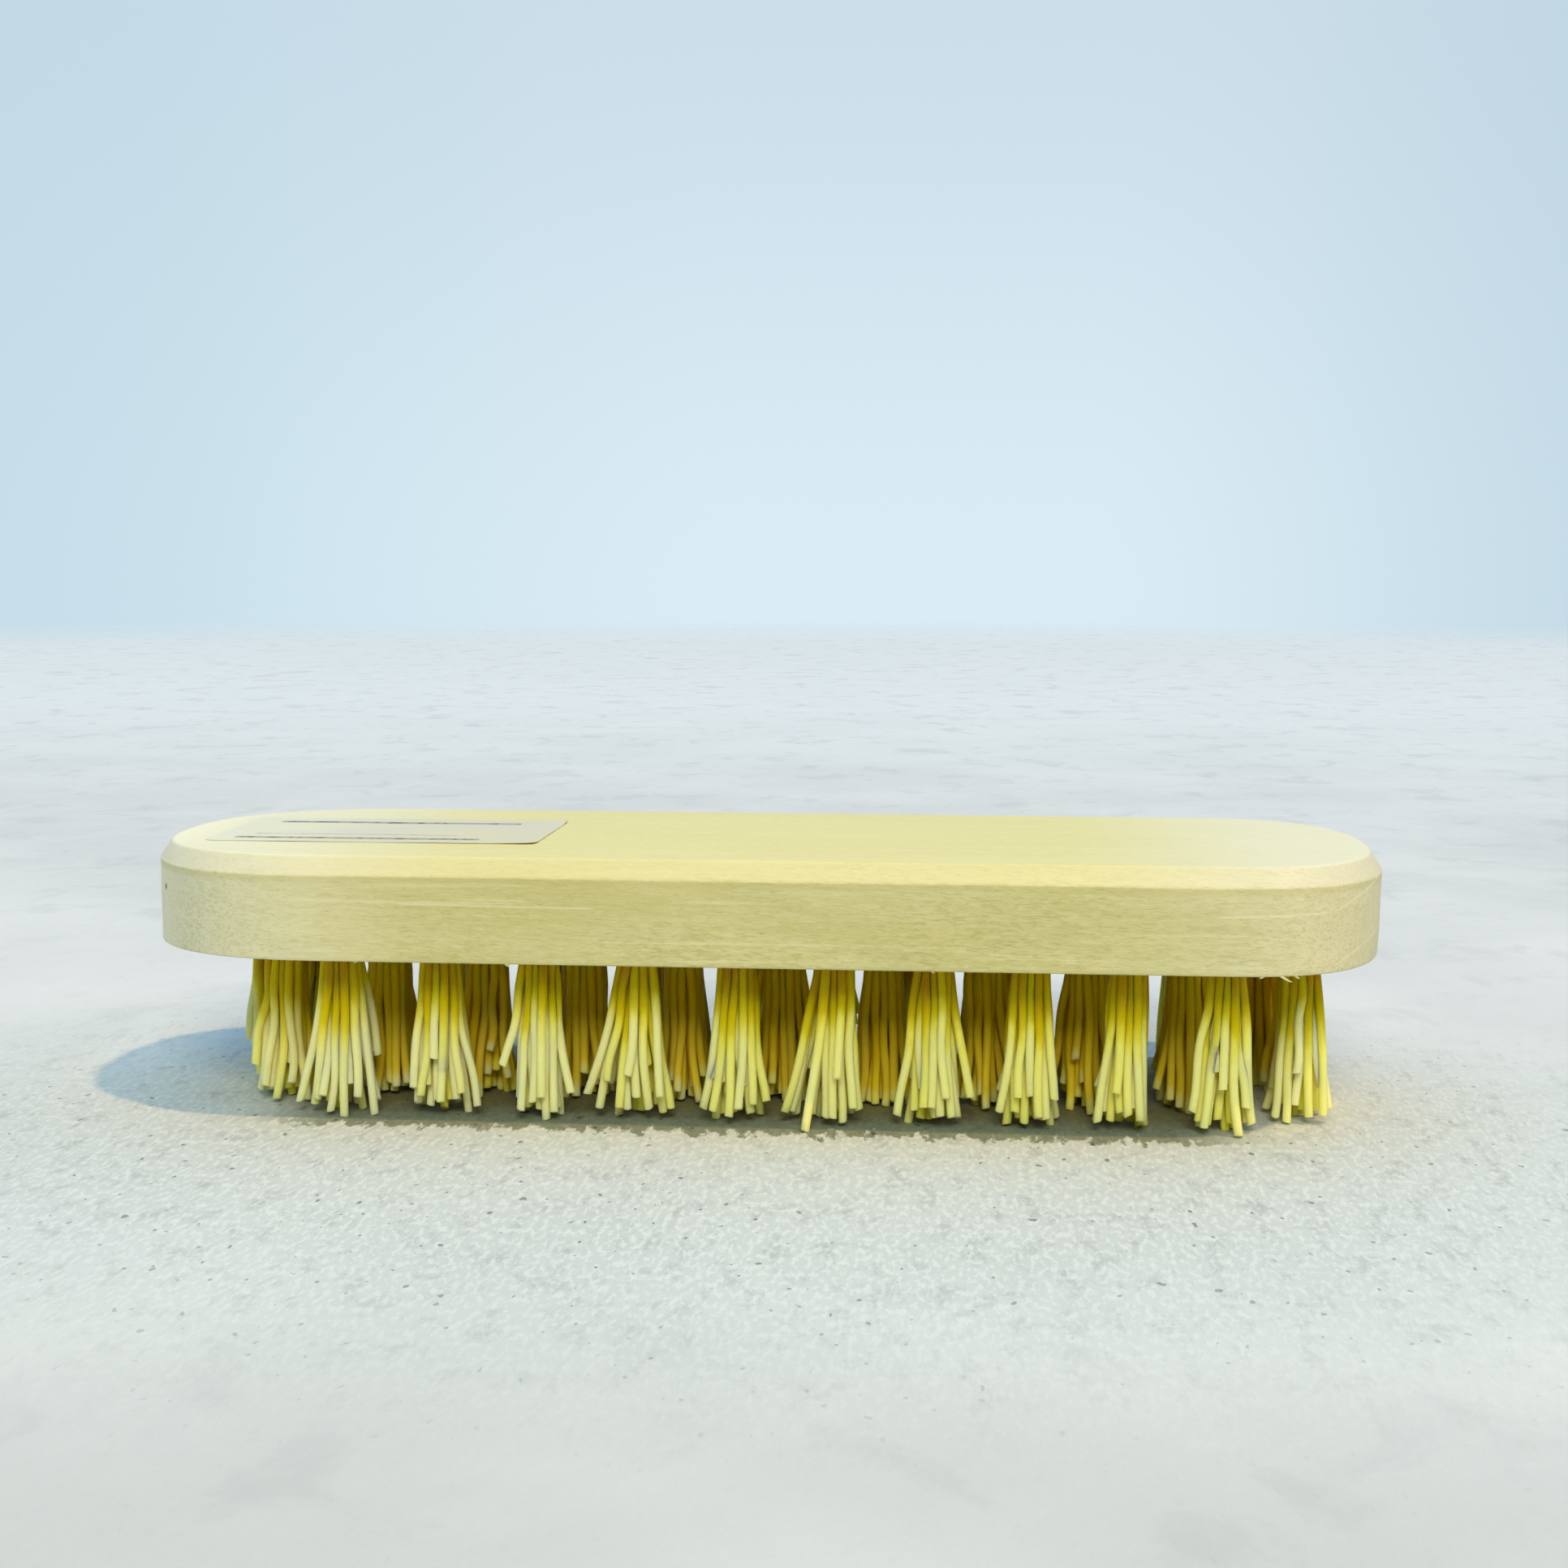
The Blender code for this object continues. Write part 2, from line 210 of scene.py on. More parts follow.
# Grain of the wood, drawn out along the block
GRAIN_TURN = (0.0, 0.03, 0.02)
GRAIN = {
    "bands": Pattern((14.0, 1.0, 1.0), 240.0, 3.0, 0.55, 0.9, turn=GRAIN_TURN),
    "waves": Pattern((6.0, 1.0, 1.0), 900.0, 4.0, 0.6, 0.9, (0.1, 0.3, 0.2), GRAIN_TURN),
    "fibres": Pattern((5.0, 1.0, 1.0), 3400.0, 3.0, 0.6, 0.8, turn=GRAIN_TURN),
    "flecks": Pattern((6.0, 1.0, 1.0), 4200.0, 2.0, 0.5, shift=(0.3, 0.1, 0.2)),
    "streaks": Pattern((70.0, 1.0, 1.0), 1500.0, 1.0, 0.4, shift=(0.0, 0.2, 0.5)),
    "open": Pattern((2.5, 1.0, 1.0), 90.0, 2.0, 0.5, shift=(0.5, 0.1, 0.3)),
}
OPEN_GRAIN = (0.36, 0.60, 0.45, 1.0)
BAND_SPAN = (0.35, 0.66)
BAND_PALE = (0.598, 0.566, 0.272)
BAND_DEEP = (0.548, 0.512, 0.212)
RIM_TOP = (0.0302, 0.0298)
WOOD_MARKS = (
    ("x", None, Mark(-0.034, -0.074, 0.75, (0.805, 0.775, 0.560))),
    ("x", None, Mark(0.040, 0.075, 0.50, (0.780, 0.745, 0.520))),
    ("waves", "open", Mark(0.42, 0.70, 0.45, (0.493, 0.458, 0.176))),
    ("fibres", "open", Mark(0.46, 0.68, 0.75, (0.430, 0.395, 0.136))),
    ("fibres", None, Mark(0.46, 0.28, 0.30, (0.713, 0.691, 0.378))),
    ("flecks", "open", Mark(0.64, 0.76, 0.50, (0.414, 0.361, 0.123))),
    ("streaks", None, Mark(0.64, 0.72, 0.30, (0.748, 0.713, 0.422))),
    ("x", None, Mark(-0.034, -0.074, 0.35, (0.715, 0.686, 0.462))),
    # Painted light: the far left end is made much paler
    ("x", None, Mark(-0.066, -0.075, 0.80, (0.960, 0.880, 0.610))),
    ("x", None, Mark(0.040, 0.075, 0.40, (0.680, 0.646, 0.432))),
    ("z", "rim", Mark(0.0288, 0.0296, 0.35, (0.493, 0.440, 0.150))),
)
# Chamfer and top, by z: paler than the side as painted light from above, paler still at the ends
# by x as a painted sheen of the sky; the middle of the top keeps more of the wood's yellow, partly
# a painted reflection of yellow light
CHAMFER_LEVEL = (0.0299, 0.0304)
TOP_LEVEL = (0.0320, 0.03225)
PAINTED_LIGHT_SHARE = 0.60
PAINTED_SHEEN_CHAMFER_ENDS = (0.660, 0.645, 0.475)
PAINTED_LIGHT_CHAMFER_MIDDLE = (0.680, 0.635, 0.310)
PAINTED_SHEEN_TOP_ENDS = (0.835, 0.825, 0.585)
PAINTED_LIGHT_TOP_MIDDLE = (0.800, 0.735, 0.300)
MIDDLE_FROM_LEFT = (-0.066, -0.028)
MIDDLE_FROM_RIGHT = (0.068, 0.034)
# Painted shade: dark in and around the pin hole
PIN_PAINTED_SHADE = Mark(1.6 * PIN_RADIUS, 0.8 * PIN_RADIUS, 0.95, (0.110, 0.070, 0.020))
WOOD_ROUGHNESS = (0.46, 0.62)
WOOD_SPECULAR = 0.42
# Height and strength of the wood's relief
FIBRE_RELIEF = (0.05 * MM, 0.55)
WAVE_RELIEF = (0.10 * MM, 0.5)
FLECK_RELIEF = (0.06 * MM, 0.5)
FLECK_PIT_SPAN = (0.60, 0.76)

# Pale lines on the front side: in the middle they are sanding scratches, along the sanding ridges
# at the ends they are painted highlights; start and end as (x, height), and thickness
SCRATCHES_AND_RIDGE_HIGHLIGHTS = (
    ((-40.5, 26.9), (-16.5, 26.65), 0.16),
    ((-33.0, 27.5), (-24.0, 27.4), 0.10),
    ((53.0, 26.7), (67.0, 27.1), 0.20),
    ((66.5, 26.9), (74.0, 30.3), 0.26),
    ((66.5, 20.6), (74.0, 24.2), 0.22),
    ((-70.0, 25.5), (-65.0, 22.9), 0.10),
    ((-72.0, 25.0), (-66.0, 24.0), 0.08),
)
SCRATCH_AND_HIGHLIGHT_COLOUR = (0.820, 0.790, 0.530)
SCRATCH_AND_HIGHLIGHT_SHARE = 0.42
PALE_LINE_CORE = 0.2
PALE_LINE_FADE = 1.5
FRONT_SIDE_LIMIT = -0.010

# Filaments: folds in each row of a hole with the row's offset and pitch, and the radius
# of a row's folds, in mm
FOLDS_PER_ROW = ((5, 0.40, 0.80), (5, 1.15, 0.75), (3, 1.79, 0.72))
FOLD_RADII = (0.62, 1.35, 2.00)
ROOT_NUDGE = 0.05
PLUG_DEPTH = 8.2 * MM
PLUG_BENDS = (1.6 * MM, 3.9 * MM)
FOLD_STEPS = 6
ROOT_SPACING = 0.78 * MM
TIP_SPACING = 0.97 * MM
PLUG_THICKNESS = 0.90 * MM
ROOT_THICKNESS = 1.24 * MM
TIP_THICKNESS = 1.03 * MM
ROOT_SWELL_END = 0.06
ROOT_SWELL_FADE = 0.50
CUT_SHARE = 0.84
CUT_RISE = 0.055 * MM
FILAMENT_SIDES = 10
FILAMENT_SMOOTH_ANGLE = 48
FREE_STEPS = 17
FIRST_SEED = 4200
# Loose bundle, in mm: how far roots and tips reach, how it leans outward, and its strays
ROOT_REACH = 1.93
TIP_REACH = 2.95
TIP_REACH_POWER = 0.9
TIP_REACH_SPREAD = 0.09
FIELD_MIDDLE = 2.6 * MM
FIELD_HALF_LENGTH = 64.6 * MM
FIELD_HALF_WIDTH = 15.0 * MM
OUTWARD_LEAN = 0.8
LEFT_LEAN_LIMIT = -0.7
LEAN_SPREAD = 0.3
TIP_SPREAD = 0.22
STRAY_SHARE = 0.16
STRAY_ROOT_SHARE = 0.75
STRAY_REACH = (0.5, 2.3)
# Heights of the tips over the floor, in mm
LEVEL_LOW = 0.1
LEVEL_MEAN = 1.1
LEVEL_HIGH = 3.6
SHORT_SHARE = 0.14
SHORT_LEVELS = (2.5, 7.0)
STANDING_LEVEL = 0.02
# Habits of a filament: flare, waves, kink, thickness and slant of the cut
STRAIGHT_FLARES = (0.8, 2.4)
STRAIGHT_SHARES = (0.30, 0.85)
FLARE_POWER = 2.4
OUTER_TIPS = (1.3, 1.3)
WAVE_SIZES = (0.10, 0.34)
WAVE_TURNS = (0.8, 1.9)
KINK_SIZE = 0.35
KINK_STARTS = (0.50, 0.85)
KINK_LENGTH = 0.3
SWELLS = (0.94, 1.06)
CUT_SLANT = 0.16
# Pushing filaments apart
NEIGHBOUR_DISTANCE = 16 * MM
PUSH_SHARE = 0.35
FIRST_ROUNDS = 14
LAST_ROUNDS = 4
# Tips in view, in mm: reach to the front, half width of their arc, and what lies behind
SEEN_REACH = 3.1
SEEN_HALF_WIDTH = 6.5
BEHIND_REACH = 2.2
BEHIND_LEVEL = 1.2

# Tips on the front side: along x from the hole, and height over the floor, in mm.
# A third number is how far the tip reaches out to the front.
SEEN_TIPS = {
    "tuft_left_end_1": (
        (-3.3, 4.6), (-2.8, 2.2), (-1.8, 2.1), (-1.0, 1.9), (0.0, 0.6), (1.3, 2.5), (2.4, 0.4),
    ),
    "tuft_front_01": (
        (-3.9, 1.6), (-3.2, 1.2), (-2.4, 2.0), (-1.6, 2.6), (-0.5, 0.6),
        (0.9, 0.05), (1.4, 3.8), (2.6, 2.3), (3.6, 0.05), (5.2, 1.7),
    ),
    "tuft_front_02": (
        (-3.7, 3.6), (-2.5, 1.7), (-1.3, 2.7), (-0.2, 7.4), (0.5, 2.2),
        (0.9, 5.5), (1.6, 2.1), (2.7, 3.1), (4.3, 1.3),
    ),
    "tuft_front_03": (
        (-3.2, 6.5), (-2.1, 2.7), (-1.6, 1.4), (-0.7, 3.9), (-0.2, 2.3),
        (0.8, 3.0), (1.4, 0.05, 3.8), (2.1, 1.1), (2.9, 3.4),
    ),
    "tuft_front_04": (
        (-5.8, 3.0), (-4.8, 1.4), (-3.1, 4.8), (-2.0, 1.8), (-1.5, 1.5), (-0.9, 5.8),
        (-0.2, 3.0), (1.1, 1.6), (2.0, 3.3), (2.7, 1.5), (5.2, 1.0),
    ),
    "tuft_front_05": (
        (-3.4, 1.8), (-2.8, 5.4), (-2.3, 1.9), (-2.0, 5.1), (-1.2, 3.5),
        (-0.4, 1.2), (0.2, 4.6), (1.3, 2.1), (2.0, 2.5), (3.0, 2.7),
    ),
    "tuft_front_06": (
        (-5.6, 1.4), (-5.0, 1.5), (-3.3, 0.05, 6.2), (-1.0, 1.2), (0.2, 1.2),
        (0.7, 6.2), (0.8, 0.6), (1.8, 2.4), (2.7, 1.9),
    ),
    "tuft_front_07": (
        (-3.8, 1.4), (-2.1, 2.0), (-1.2, 2.8), (-1.0, 4.8), (-0.4, 2.7),
        (0.9, 3.9), (1.3, 1.6), (1.9, 1.5), (4.5, 3.8),
    ),
    "tuft_front_08": (
        (-3.4, 2.3), (-2.2, 2.2), (-1.6, 4.2), (-0.9, 0.9), (-0.3, 4.3),
        (0.4, 1.5), (1.0, 1.9), (1.5, 1.5), (2.6, 3.8),
    ),
    "tuft_front_09": (
        (-3.4, 1.4), (-2.5, 2.5), (-1.6, 5.0), (-0.9, 2.5), (-0.2, 2.3),
        (0.1, 2.0), (0.7, 1.7), (1.6, 3.1),
    ),
    "tuft_front_10": (
        (-4.4, 2.8), (-3.2, 1.6), (-2.6, 1.1), (-1.6, 7.5), (-1.3, 1.2), (-0.6, 5.6),
        (0.1, 6.1), (1.0, 0.3), (1.6, 3.4), (2.5, 1.2),
    ),
    "tuft_right_end_1": (
        (-2.9, 0.8), (-1.5, 0.3), (-0.6, 6.4), (0.1, 2.3), (1.0, 1.0),
        (2.2, 1.4), (2.7, 1.9), (3.2, 4.5),
    ),
}

# Plastic of the filaments: colours from the root to the tip, by depth; the roots and upper part
# are deeper amber, darkened further as painted shade under the block, and the pale lower part is
# whitened tips, partly painted light
PATCHES = Pattern((1.0, 1.0, 2.5), 420.0, 2.0, 0.5)
RIBS = Pattern((1.0, 1.0, 30.0), 6000.0, 2.0, 0.5)
# Shifts of the depth by patch, by filament and by place in the bundle: middle and size; the shift
# by place paints light on the outer filaments, which turn pale higher up
DEPTH_SHIFTS = ((0.5, 0.45), (0.5, 0.22), (0.9, 0.20))
ROOT_AMBER_AND_PAINTED_SHADE = (0.420, 0.225, 0.001)
UPPER_AMBER_AND_PAINTED_SHADE = (0.620, 0.490, 0.002)
UPPER_SPAN = (-0.03, 0.36)
YELLOW_MARK = Mark(0.32, 0.64, 1.0, (0.960, 0.840, 0.080))
# Tip colours by x: the left and right end tufts are paler as painted light
PAINTED_LIGHT_TIP_LEFT = (0.990, 0.910, 0.430)
TIP_MIDDLE = (0.990, 0.900, 0.310)
TIP_SPAN = (-0.050, 0.030)
PAINTED_LIGHT_TIP_RIGHT = Mark(0.058, 0.066, 1.0, (0.990, 0.915, 0.420))
PALE_SPAN = (0.40, 0.72)
# Painted light: the outer filaments are paler
PAINTED_LIGHT_BY_OUTER = (0.0, 0.9, 0.10, 1.0)
PALE_BY_TONE = (0.10, 0.50, 0.50, 1.0)
# Painted amber, the colour of light through the shaded inner rows, and through the bundles behind
# the right end
PAINTED_CORE_AMBER = (0.940, 0.590, 0.003)
CORE_WIDTH = (0.0135, 0.0105)
CORE_LENGTH = (0.064, 0.052)
RIGHT_CORE_X = (0.054, 0.060)
RIGHT_CORE_Y = (-0.0080, -0.0050)
CORE_ALONG = (0.98, 0.88, 0.15, 0.88)
CUT_COLOUR = (0.985, 0.910, 0.500)
CUT_COLOUR_SHARE = 0.8
FILAMENT_ROUGHNESS = (0.36, 0.48)
FILAMENT_SETTINGS = {
    "Specular IOR Level": 0.20,
    "IOR": 1.25,
    "Subsurface Weight": 0.85,
    "Subsurface Radius": (1.0, 0.85, 0.12),
    "Subsurface Scale": 1.9 * MM,
}
RIB_RELIEF = (0.02 * MM, 0.15)

# Label film, with a ripple and two lifted corners: lift in mm, start and width of the rise
FILM_THICKNESS = 0.08 * MM
FILM_LIFT = 0.03 * MM
FILM_CORNER = 1.2 * MM
FILM_COLUMNS = 60
FILM_ROWS = 34
FILM_RIPPLE = 0.02
FILM_RIPPLE_LENGTHS = (3.1 * MM, 2.7 * MM)
FAR_CORNER = (0.30, 1.82, 0.18)
NEAR_CORNER = (0.16, 0.86, 0.14)
FILM_SMOOTH_ANGLE = 50
VEIL = Pattern((3.0, 1.0, 1.0), 160.0, 2.0, 0.5)
VEIL_SHARES = (0.72, 0.50)
FILM_COLOUR = (0.580, 0.565, 0.475)
FILM_CLEARING = (-0.044, -0.066, 0.0, 0.65)
FILM_ROUGHNESS = (0.38, 0.52)
FILM_SPECULAR = 0.35
FILM_RIPPLES = Pattern((2.0, 1.0, 1.0), 300.0, 2.0, 0.5)
FILM_RELIEF = (0.05 * MM, 0.5)
WORN = Pattern((1.0, 4.0, 1.0), 900.0, 1.0, 0.5)
WORN_SPAN = (0.36, 0.58)
WORN_SHARE = 0.6
INK = (0.06, 0.055, 0.045)
# Ruled lines: middle y, half thickness, start and end along x, darkness
RULED_LINES = (
    (-9.0 * MM, 0.95 * MM, -64.5 * MM, -34.0 * MM, 0.90),
    (-5.4 * MM, 0.45 * MM, -63.0 * MM, -37.5 * MM, 0.45),
    (6.6 * MM, 1.05 * MM, -63.5 * MM, -32.0 * MM, 0.90),
)

# Most of a noise pattern lies between these values
NOISE_RANGE = (0.3, 0.7)


def piece(name, mesh, material):
    """Put a mesh in the scene as a piece of the brush."""
    mesh.materials.append(material)
    item = bpy.data.objects.new(name, mesh)
    bpy.context.collection.objects.link(item)
    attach(item, BODY)
    return item


def mesh_from(name, points, polygons, smooth_angle):
    mesh = bpy.data.meshes.new(name)
    mesh.from_pydata([tuple(p) for p in points], [], polygons)
    mesh.validate()
    mesh.shade_smooth()
    mesh.set_sharp_from_angle(angle=math.radians(smooth_angle))
    return mesh


def ring_walls(first, second, count):
    """Quads between two rings of points, given the number of each ring's first point."""
    walls = []
    for i in range(count):
        j = (i + 1) % count
        walls.append((first + i, first + j, second + j, second + i))
    return walls


# ---- Node graphs


class Graph:
    """A short way to write a node graph."""

    def __init__(self, tree):
        self.nodes = tree.nodes
        self.links = tree.links

    def add(self, kind, inputs=None, **settings):
        node = self.nodes.new(kind)
        for key, value in settings.items():
            setattr(node, key, value)
        self.fill(node, inputs or {})
        return node

    def fill(self, node, inputs):
        for key, value in inputs.items():
            self.put(node.inputs[key], value)

    def put(self, socket, value):
        if isinstance(value, bpy.types.NodeSocket):
            self.links.new(value, socket)
        else:
            socket.default_value = value

    def object_place(self):
        return self.add("ShaderNodeTexCoord").outputs["Object"]

    def stretch(self, vector, scale, shift, turn=(0.0, 0.0, 0.0)):
        """The pattern of what follows, drawn out by the scale along each turned axis."""
        values = {"Vector": vector, "Scale": scale, "Location": shift, "Rotation": turn}
        return self.add("ShaderNodeMapping", values, vector_type="TEXTURE").outputs["Vector"]

    def parts(self, vector):
        return self.add("ShaderNodeSeparateXYZ", {"Vector": vector}).outputs

    def length(self, vector):
        return self.add("ShaderNodeVectorMath", {0: vector}, operation="LENGTH").outputs["Value"]

    def noise(self, place, pattern):
        values = {
            "Vector": self.stretch(place, pattern.stretch, pattern.shift, pattern.turn),
            "Scale": pattern.scale,
            "Detail": pattern.detail,
            "Roughness": pattern.roughness,
            "Distortion": pattern.distortion,
        }
        return self.add("ShaderNodeTexNoise", values).outputs["Fac"]

    def noises(self, place, patterns):
        return {name: self.noise(place, pattern) for name, pattern in patterns.items()}

    def span(self, value, low, high, start=0.0, end=1.0):
        """The value, taken from low..high to start..end and kept inside."""
        values = {"Value": value, "From Min": low, "From Max": high}
        values["To Min"] = start
        values["To Max"] = end
        node = self.add("ShaderNodeMapRange", values, interpolation_type="SMOOTHSTEP")
        return node.outputs["Result"]

    def math(self, operation, first, second=0.0, third=0.0):
        node = self.add("ShaderNodeMath", operation=operation)
        self.put(node.inputs[0], first)
        self.put(node.inputs[1], second)
        self.put(node.inputs[2], third)
        return node.outputs[0]

    def times(self, first, second):
        return self.math("MULTIPLY", first, second)

    def size(self, value):
        return self.math("ABSOLUTE", value)

    def blend(self, factor, first, second, mode="MIX"):
        node = self.add("ShaderNodeMix", data_type="RGBA", blend_type=mode)
        self.put(node.inputs["Factor"], factor)
        self.put(node.inputs["A"], colour4(first))
        self.put(node.inputs["B"], colour4(second))
        return node.outputs["Result"]

    def mark(self, colour, value, mark, limit=None):
        """The colour with a mark laid over it, everywhere or only as far as the limit."""
        share = self.span(value, mark.low, mark.high, 0.0, mark.share)
        if limit is not None:
            share = self.times(share, limit)
        return self.blend(share, colour, mark.colour)

    def marks(self, colour, values, table):
        """The colour under a table of marks, each with its value and what limits it."""
        for name, limit, mark in table:
            colour = self.mark(colour, values[name], mark, values.get(limit))
        return colour

    def darken(self, share, colour, tint):
        return self.blend(share, colour, self.blend(1.0, colour, tint, "MULTIPLY"))

    def attribute(self, name):
        return self.add("ShaderNodeAttribute", attribute_name=name).outputs["Fac"]

    def bump(self, height, relief, normal=None):
        values = {"Height": height, "Distance": relief[0], "Strength": relief[1]}
        if normal is not None:
            values["Normal"] = normal
        return self.add("ShaderNodeBump", values).outputs["Normal"]


def colour4(value):
    if isinstance(value, tuple) and len(value) == 3:
        return (*value, 1.0)
    return value


def new_material(name):
    material = bpy.data.materials.new(name)
    material.use_nodes = True
    graph = Graph(material.node_tree)
    shader = material.node_tree.nodes["Principled BSDF"]
    return material, graph, shader


# ---- Materials


def wood_colour(g, place, grain):
    """Colour of pale hardwood: soft tone bands, wavy grain and fine fibres along x; the chamfer
    and top carry painted light and sheen, and the far left end painted light.
    """
    x, _, z = g.parts(place)
    values = {**grain, "x": x, "z": z, "rim": g.span(z, *RIM_TOP)}
    values["open"] = g.span(grain["open"], *OPEN_GRAIN)
    colour = g.blend(g.span(grain["bands"], *BAND_SPAN), BAND_PALE, BAND_DEEP)
    colour = g.marks(colour, values, WOOD_MARKS)
    middle = g.times(g.span(x, *MIDDLE_FROM_LEFT), g.span(x, *MIDDLE_FROM_RIGHT))
    top = g.blend(middle, PAINTED_SHEEN_TOP_ENDS, PAINTED_LIGHT_TOP_MIDDLE)
    chamfer = g.blend(middle, PAINTED_SHEEN_CHAMFER_ENDS, PAINTED_LIGHT_CHAMFER_MIDDLE)
    painted_faces = g.blend(g.span(z, *TOP_LEVEL), chamfer, top)
    return g.blend(g.span(z, *CHAMFER_LEVEL, 0.0, PAINTED_LIGHT_SHARE), colour, painted_faces)


def pale_line_share(g, parts, start, end, thickness):
    """Share of a thin pale line on the front side, from start to end as (x, height)."""
    x, y, z = parts
    slope = (end[1] - start[1]) / (end[0] - start[0])
    rise = g.math("MULTIPLY_ADD", x, slope, (start[1] - slope * start[0]) * MM)
    away = g.size(g.math("SUBTRACT", z, rise))
    line = g.span(away, thickness * MM, PALE_LINE_CORE * thickness * MM)
    inside = g.span(x, start[0] * MM, (start[0] + PALE_LINE_FADE) * MM)
    inside = g.times(inside, g.span(x, end[0] * MM, (end[0] - PALE_LINE_FADE) * MM))
    front = g.math("LESS_THAN", y, FRONT_SIDE_LIMIT)
    return g.times(g.times(line, inside), front)


def wood_material():
    """Bare pale hardwood, sanded, with pale scratches and a fine open grain, painted highlights
    along the sanding ridges, painted shade in the pin hole, and painted light on the chamfer and
    top.
    """
    material, g, shader = new_material("pale_sanded_wood")
    place = g.object_place()
    grain = g.noises(place, GRAIN)
    colour = wood_colour(g, place, grain)
    parts = g.parts(place)
    for pale_line in SCRATCHES_AND_RIDGE_HIGHLIGHTS:
        share = g.times(pale_line_share(g, parts, *pale_line), SCRATCH_AND_HIGHLIGHT_SHARE)
        colour = g.blend(share, colour, SCRATCH_AND_HIGHLIGHT_COLOUR)
    away = g.add("ShaderNodeVectorMath", {0: place, 1: PIN_PLACE}, operation="DISTANCE")
    relief = g.bump(grain["fibres"], FIBRE_RELIEF)
    relief = g.bump(grain["waves"], WAVE_RELIEF, relief)
    pits = g.span(grain["flecks"], *FLECK_PIT_SPAN, 1.0, 0.0)
    g.fill(shader, {
        "Base Color": g.mark(colour, away.outputs["Value"], PIN_PAINTED_SHADE),
        "Roughness": g.span(grain["fibres"], *NOISE_RANGE, *WOOD_ROUGHNESS),
        "Specular IOR Level": WOOD_SPECULAR,
        "Normal": g.bump(pits, FLECK_RELIEF, relief),
    })
    return material


def filament_depth(g, patches, tone, outer):
    """How far towards the pale tip a place is, shifted by patch, filament and bundle; the shift by
    bundle place is painted light on the outer filaments.
    """
    depth = g.attribute("along")
    for value, (middle, shift) in zip((patches, tone, outer), DEPTH_SHIFTS):
        depth = g.math("ADD", depth, g.times(g.math("SUBTRACT", value, middle), shift))
    return depth


def painted_core_share(g, x, y):
    """Where the painted amber of light through the shaded inner rows and the right end's back
    shows.
    """
    inside = g.times(g.span(g.size(y), *CORE_WIDTH), g.span(g.size(x), *CORE_LENGTH))
    behind = g.times(g.span(x, *RIGHT_CORE_X), g.span(y, *RIGHT_CORE_Y))
    inside = g.math("MAXIMUM", inside, behind)
    return g.times(inside, g.span(g.attribute("along"), *CORE_ALONG))


def bristle_material():
    """Satin yellow plastic, deep amber at the roots and pale towards the cut tips; painted shade
    darkens the roots, painted light makes the outer filaments and the end tufts paler, and painted
    amber stands for light through the inner rows.
    """
    material, g, shader = new_material("yellow_filament")
    tone = g.attribute("tone")
    outer = g.attribute("outer")
    place = g.object_place()
    x, y, _ = g.parts(place)
    patches = g.noise(place, PATCHES)
    depth = filament_depth(g, patches, tone, outer)
    colour = g.blend(g.span(depth, *UPPER_SPAN), ROOT_AMBER_AND_PAINTED_SHADE, UPPER_AMBER_AND_PAINTED_SHADE)
    colour = g.mark(colour, depth, YELLOW_MARK)
    tips = g.blend(g.span(x, *TIP_SPAN), PAINTED_LIGHT_TIP_LEFT, TIP_MIDDLE)
    tips = g.mark(tips, x, PAINTED_LIGHT_TIP_RIGHT)
    paler = g.times(g.span(depth, *PALE_SPAN), g.span(outer, *PAINTED_LIGHT_BY_OUTER))
    paler = g.times(paler, g.span(tone, *PALE_BY_TONE))
    colour = g.blend(paler, colour, tips)
    colour = g.blend(painted_core_share(g, x, y), colour, PAINTED_CORE_AMBER)
    colour = g.blend(g.times(g.attribute("cut"), CUT_COLOUR_SHARE), colour, CUT_COLOUR)
    g.fill(shader, {
        "Base Color": colour,
        "Roughness": g.span(patches, *NOISE_RANGE, *FILAMENT_ROUGHNESS),
        "Normal": g.bump(g.noise(place, RIBS), RIB_RELIEF),
        **FILAMENT_SETTINGS,
    })
    return material


def film_material():
    """A thin greyish label film with plain ruled lines; the wood shows through it."""
    material, g, shader = new_material("label_film")
    place = g.object_place()
    x, y, _ = g.parts(place)
    under = wood_colour(g, place, g.noises(place, GRAIN))
    veil = g.noise(place, VEIL)
    colour = g.blend(g.span(veil, *NOISE_RANGE, *VEIL_SHARES), under, FILM_COLOUR)
    colour = g.blend(g.span(x, *FILM_CLEARING), colour, under)
    worn = g.noise(place, WORN)
    for middle, half, start, end, darkness in RULED_LINES:
        away = g.size(g.math("SUBTRACT", y, middle))
        across = g.span(away, half, 0.5 * half)
        after = g.math("GREATER_THAN", x, start)
        before = g.math("LESS_THAN", x, end)
        on_line = g.times(across, g.times(after, before))
        ink = g.times(on_line, g.span(worn, *WORN_SPAN, darkness, darkness * WORN_SHARE))
        colour = g.blend(ink, colour, INK)
    g.fill(shader, {
        "Base Color": colour,
        "Roughness": g.span(veil, *NOISE_RANGE, *FILM_ROUGHNESS),
        "Specular IOR Level": FILM_SPECULAR,
        "Normal": g.bump(g.noise(place, FILM_RIPPLES), FILM_RELIEF),
    })
    return material


# ---- Wood block


def end_points(tip_x, length, half_width, direction):
    """One rounded end of the block, as a superellipse from side to side."""
    angle = np.pi * (np.arange(END_STEPS + 1) / END_STEPS - 0.5)
    along = np.abs(np.cos(angle)) ** (2 / END_FULLNESS)
    across = np.abs(np.sin(angle)) ** (2 / END_FULLNESS)
    x = tip_x - direction * length * (1 - along)
    y = direction * np.sign(angle) * half_width * across
    return np.stack([x, y], axis=1)


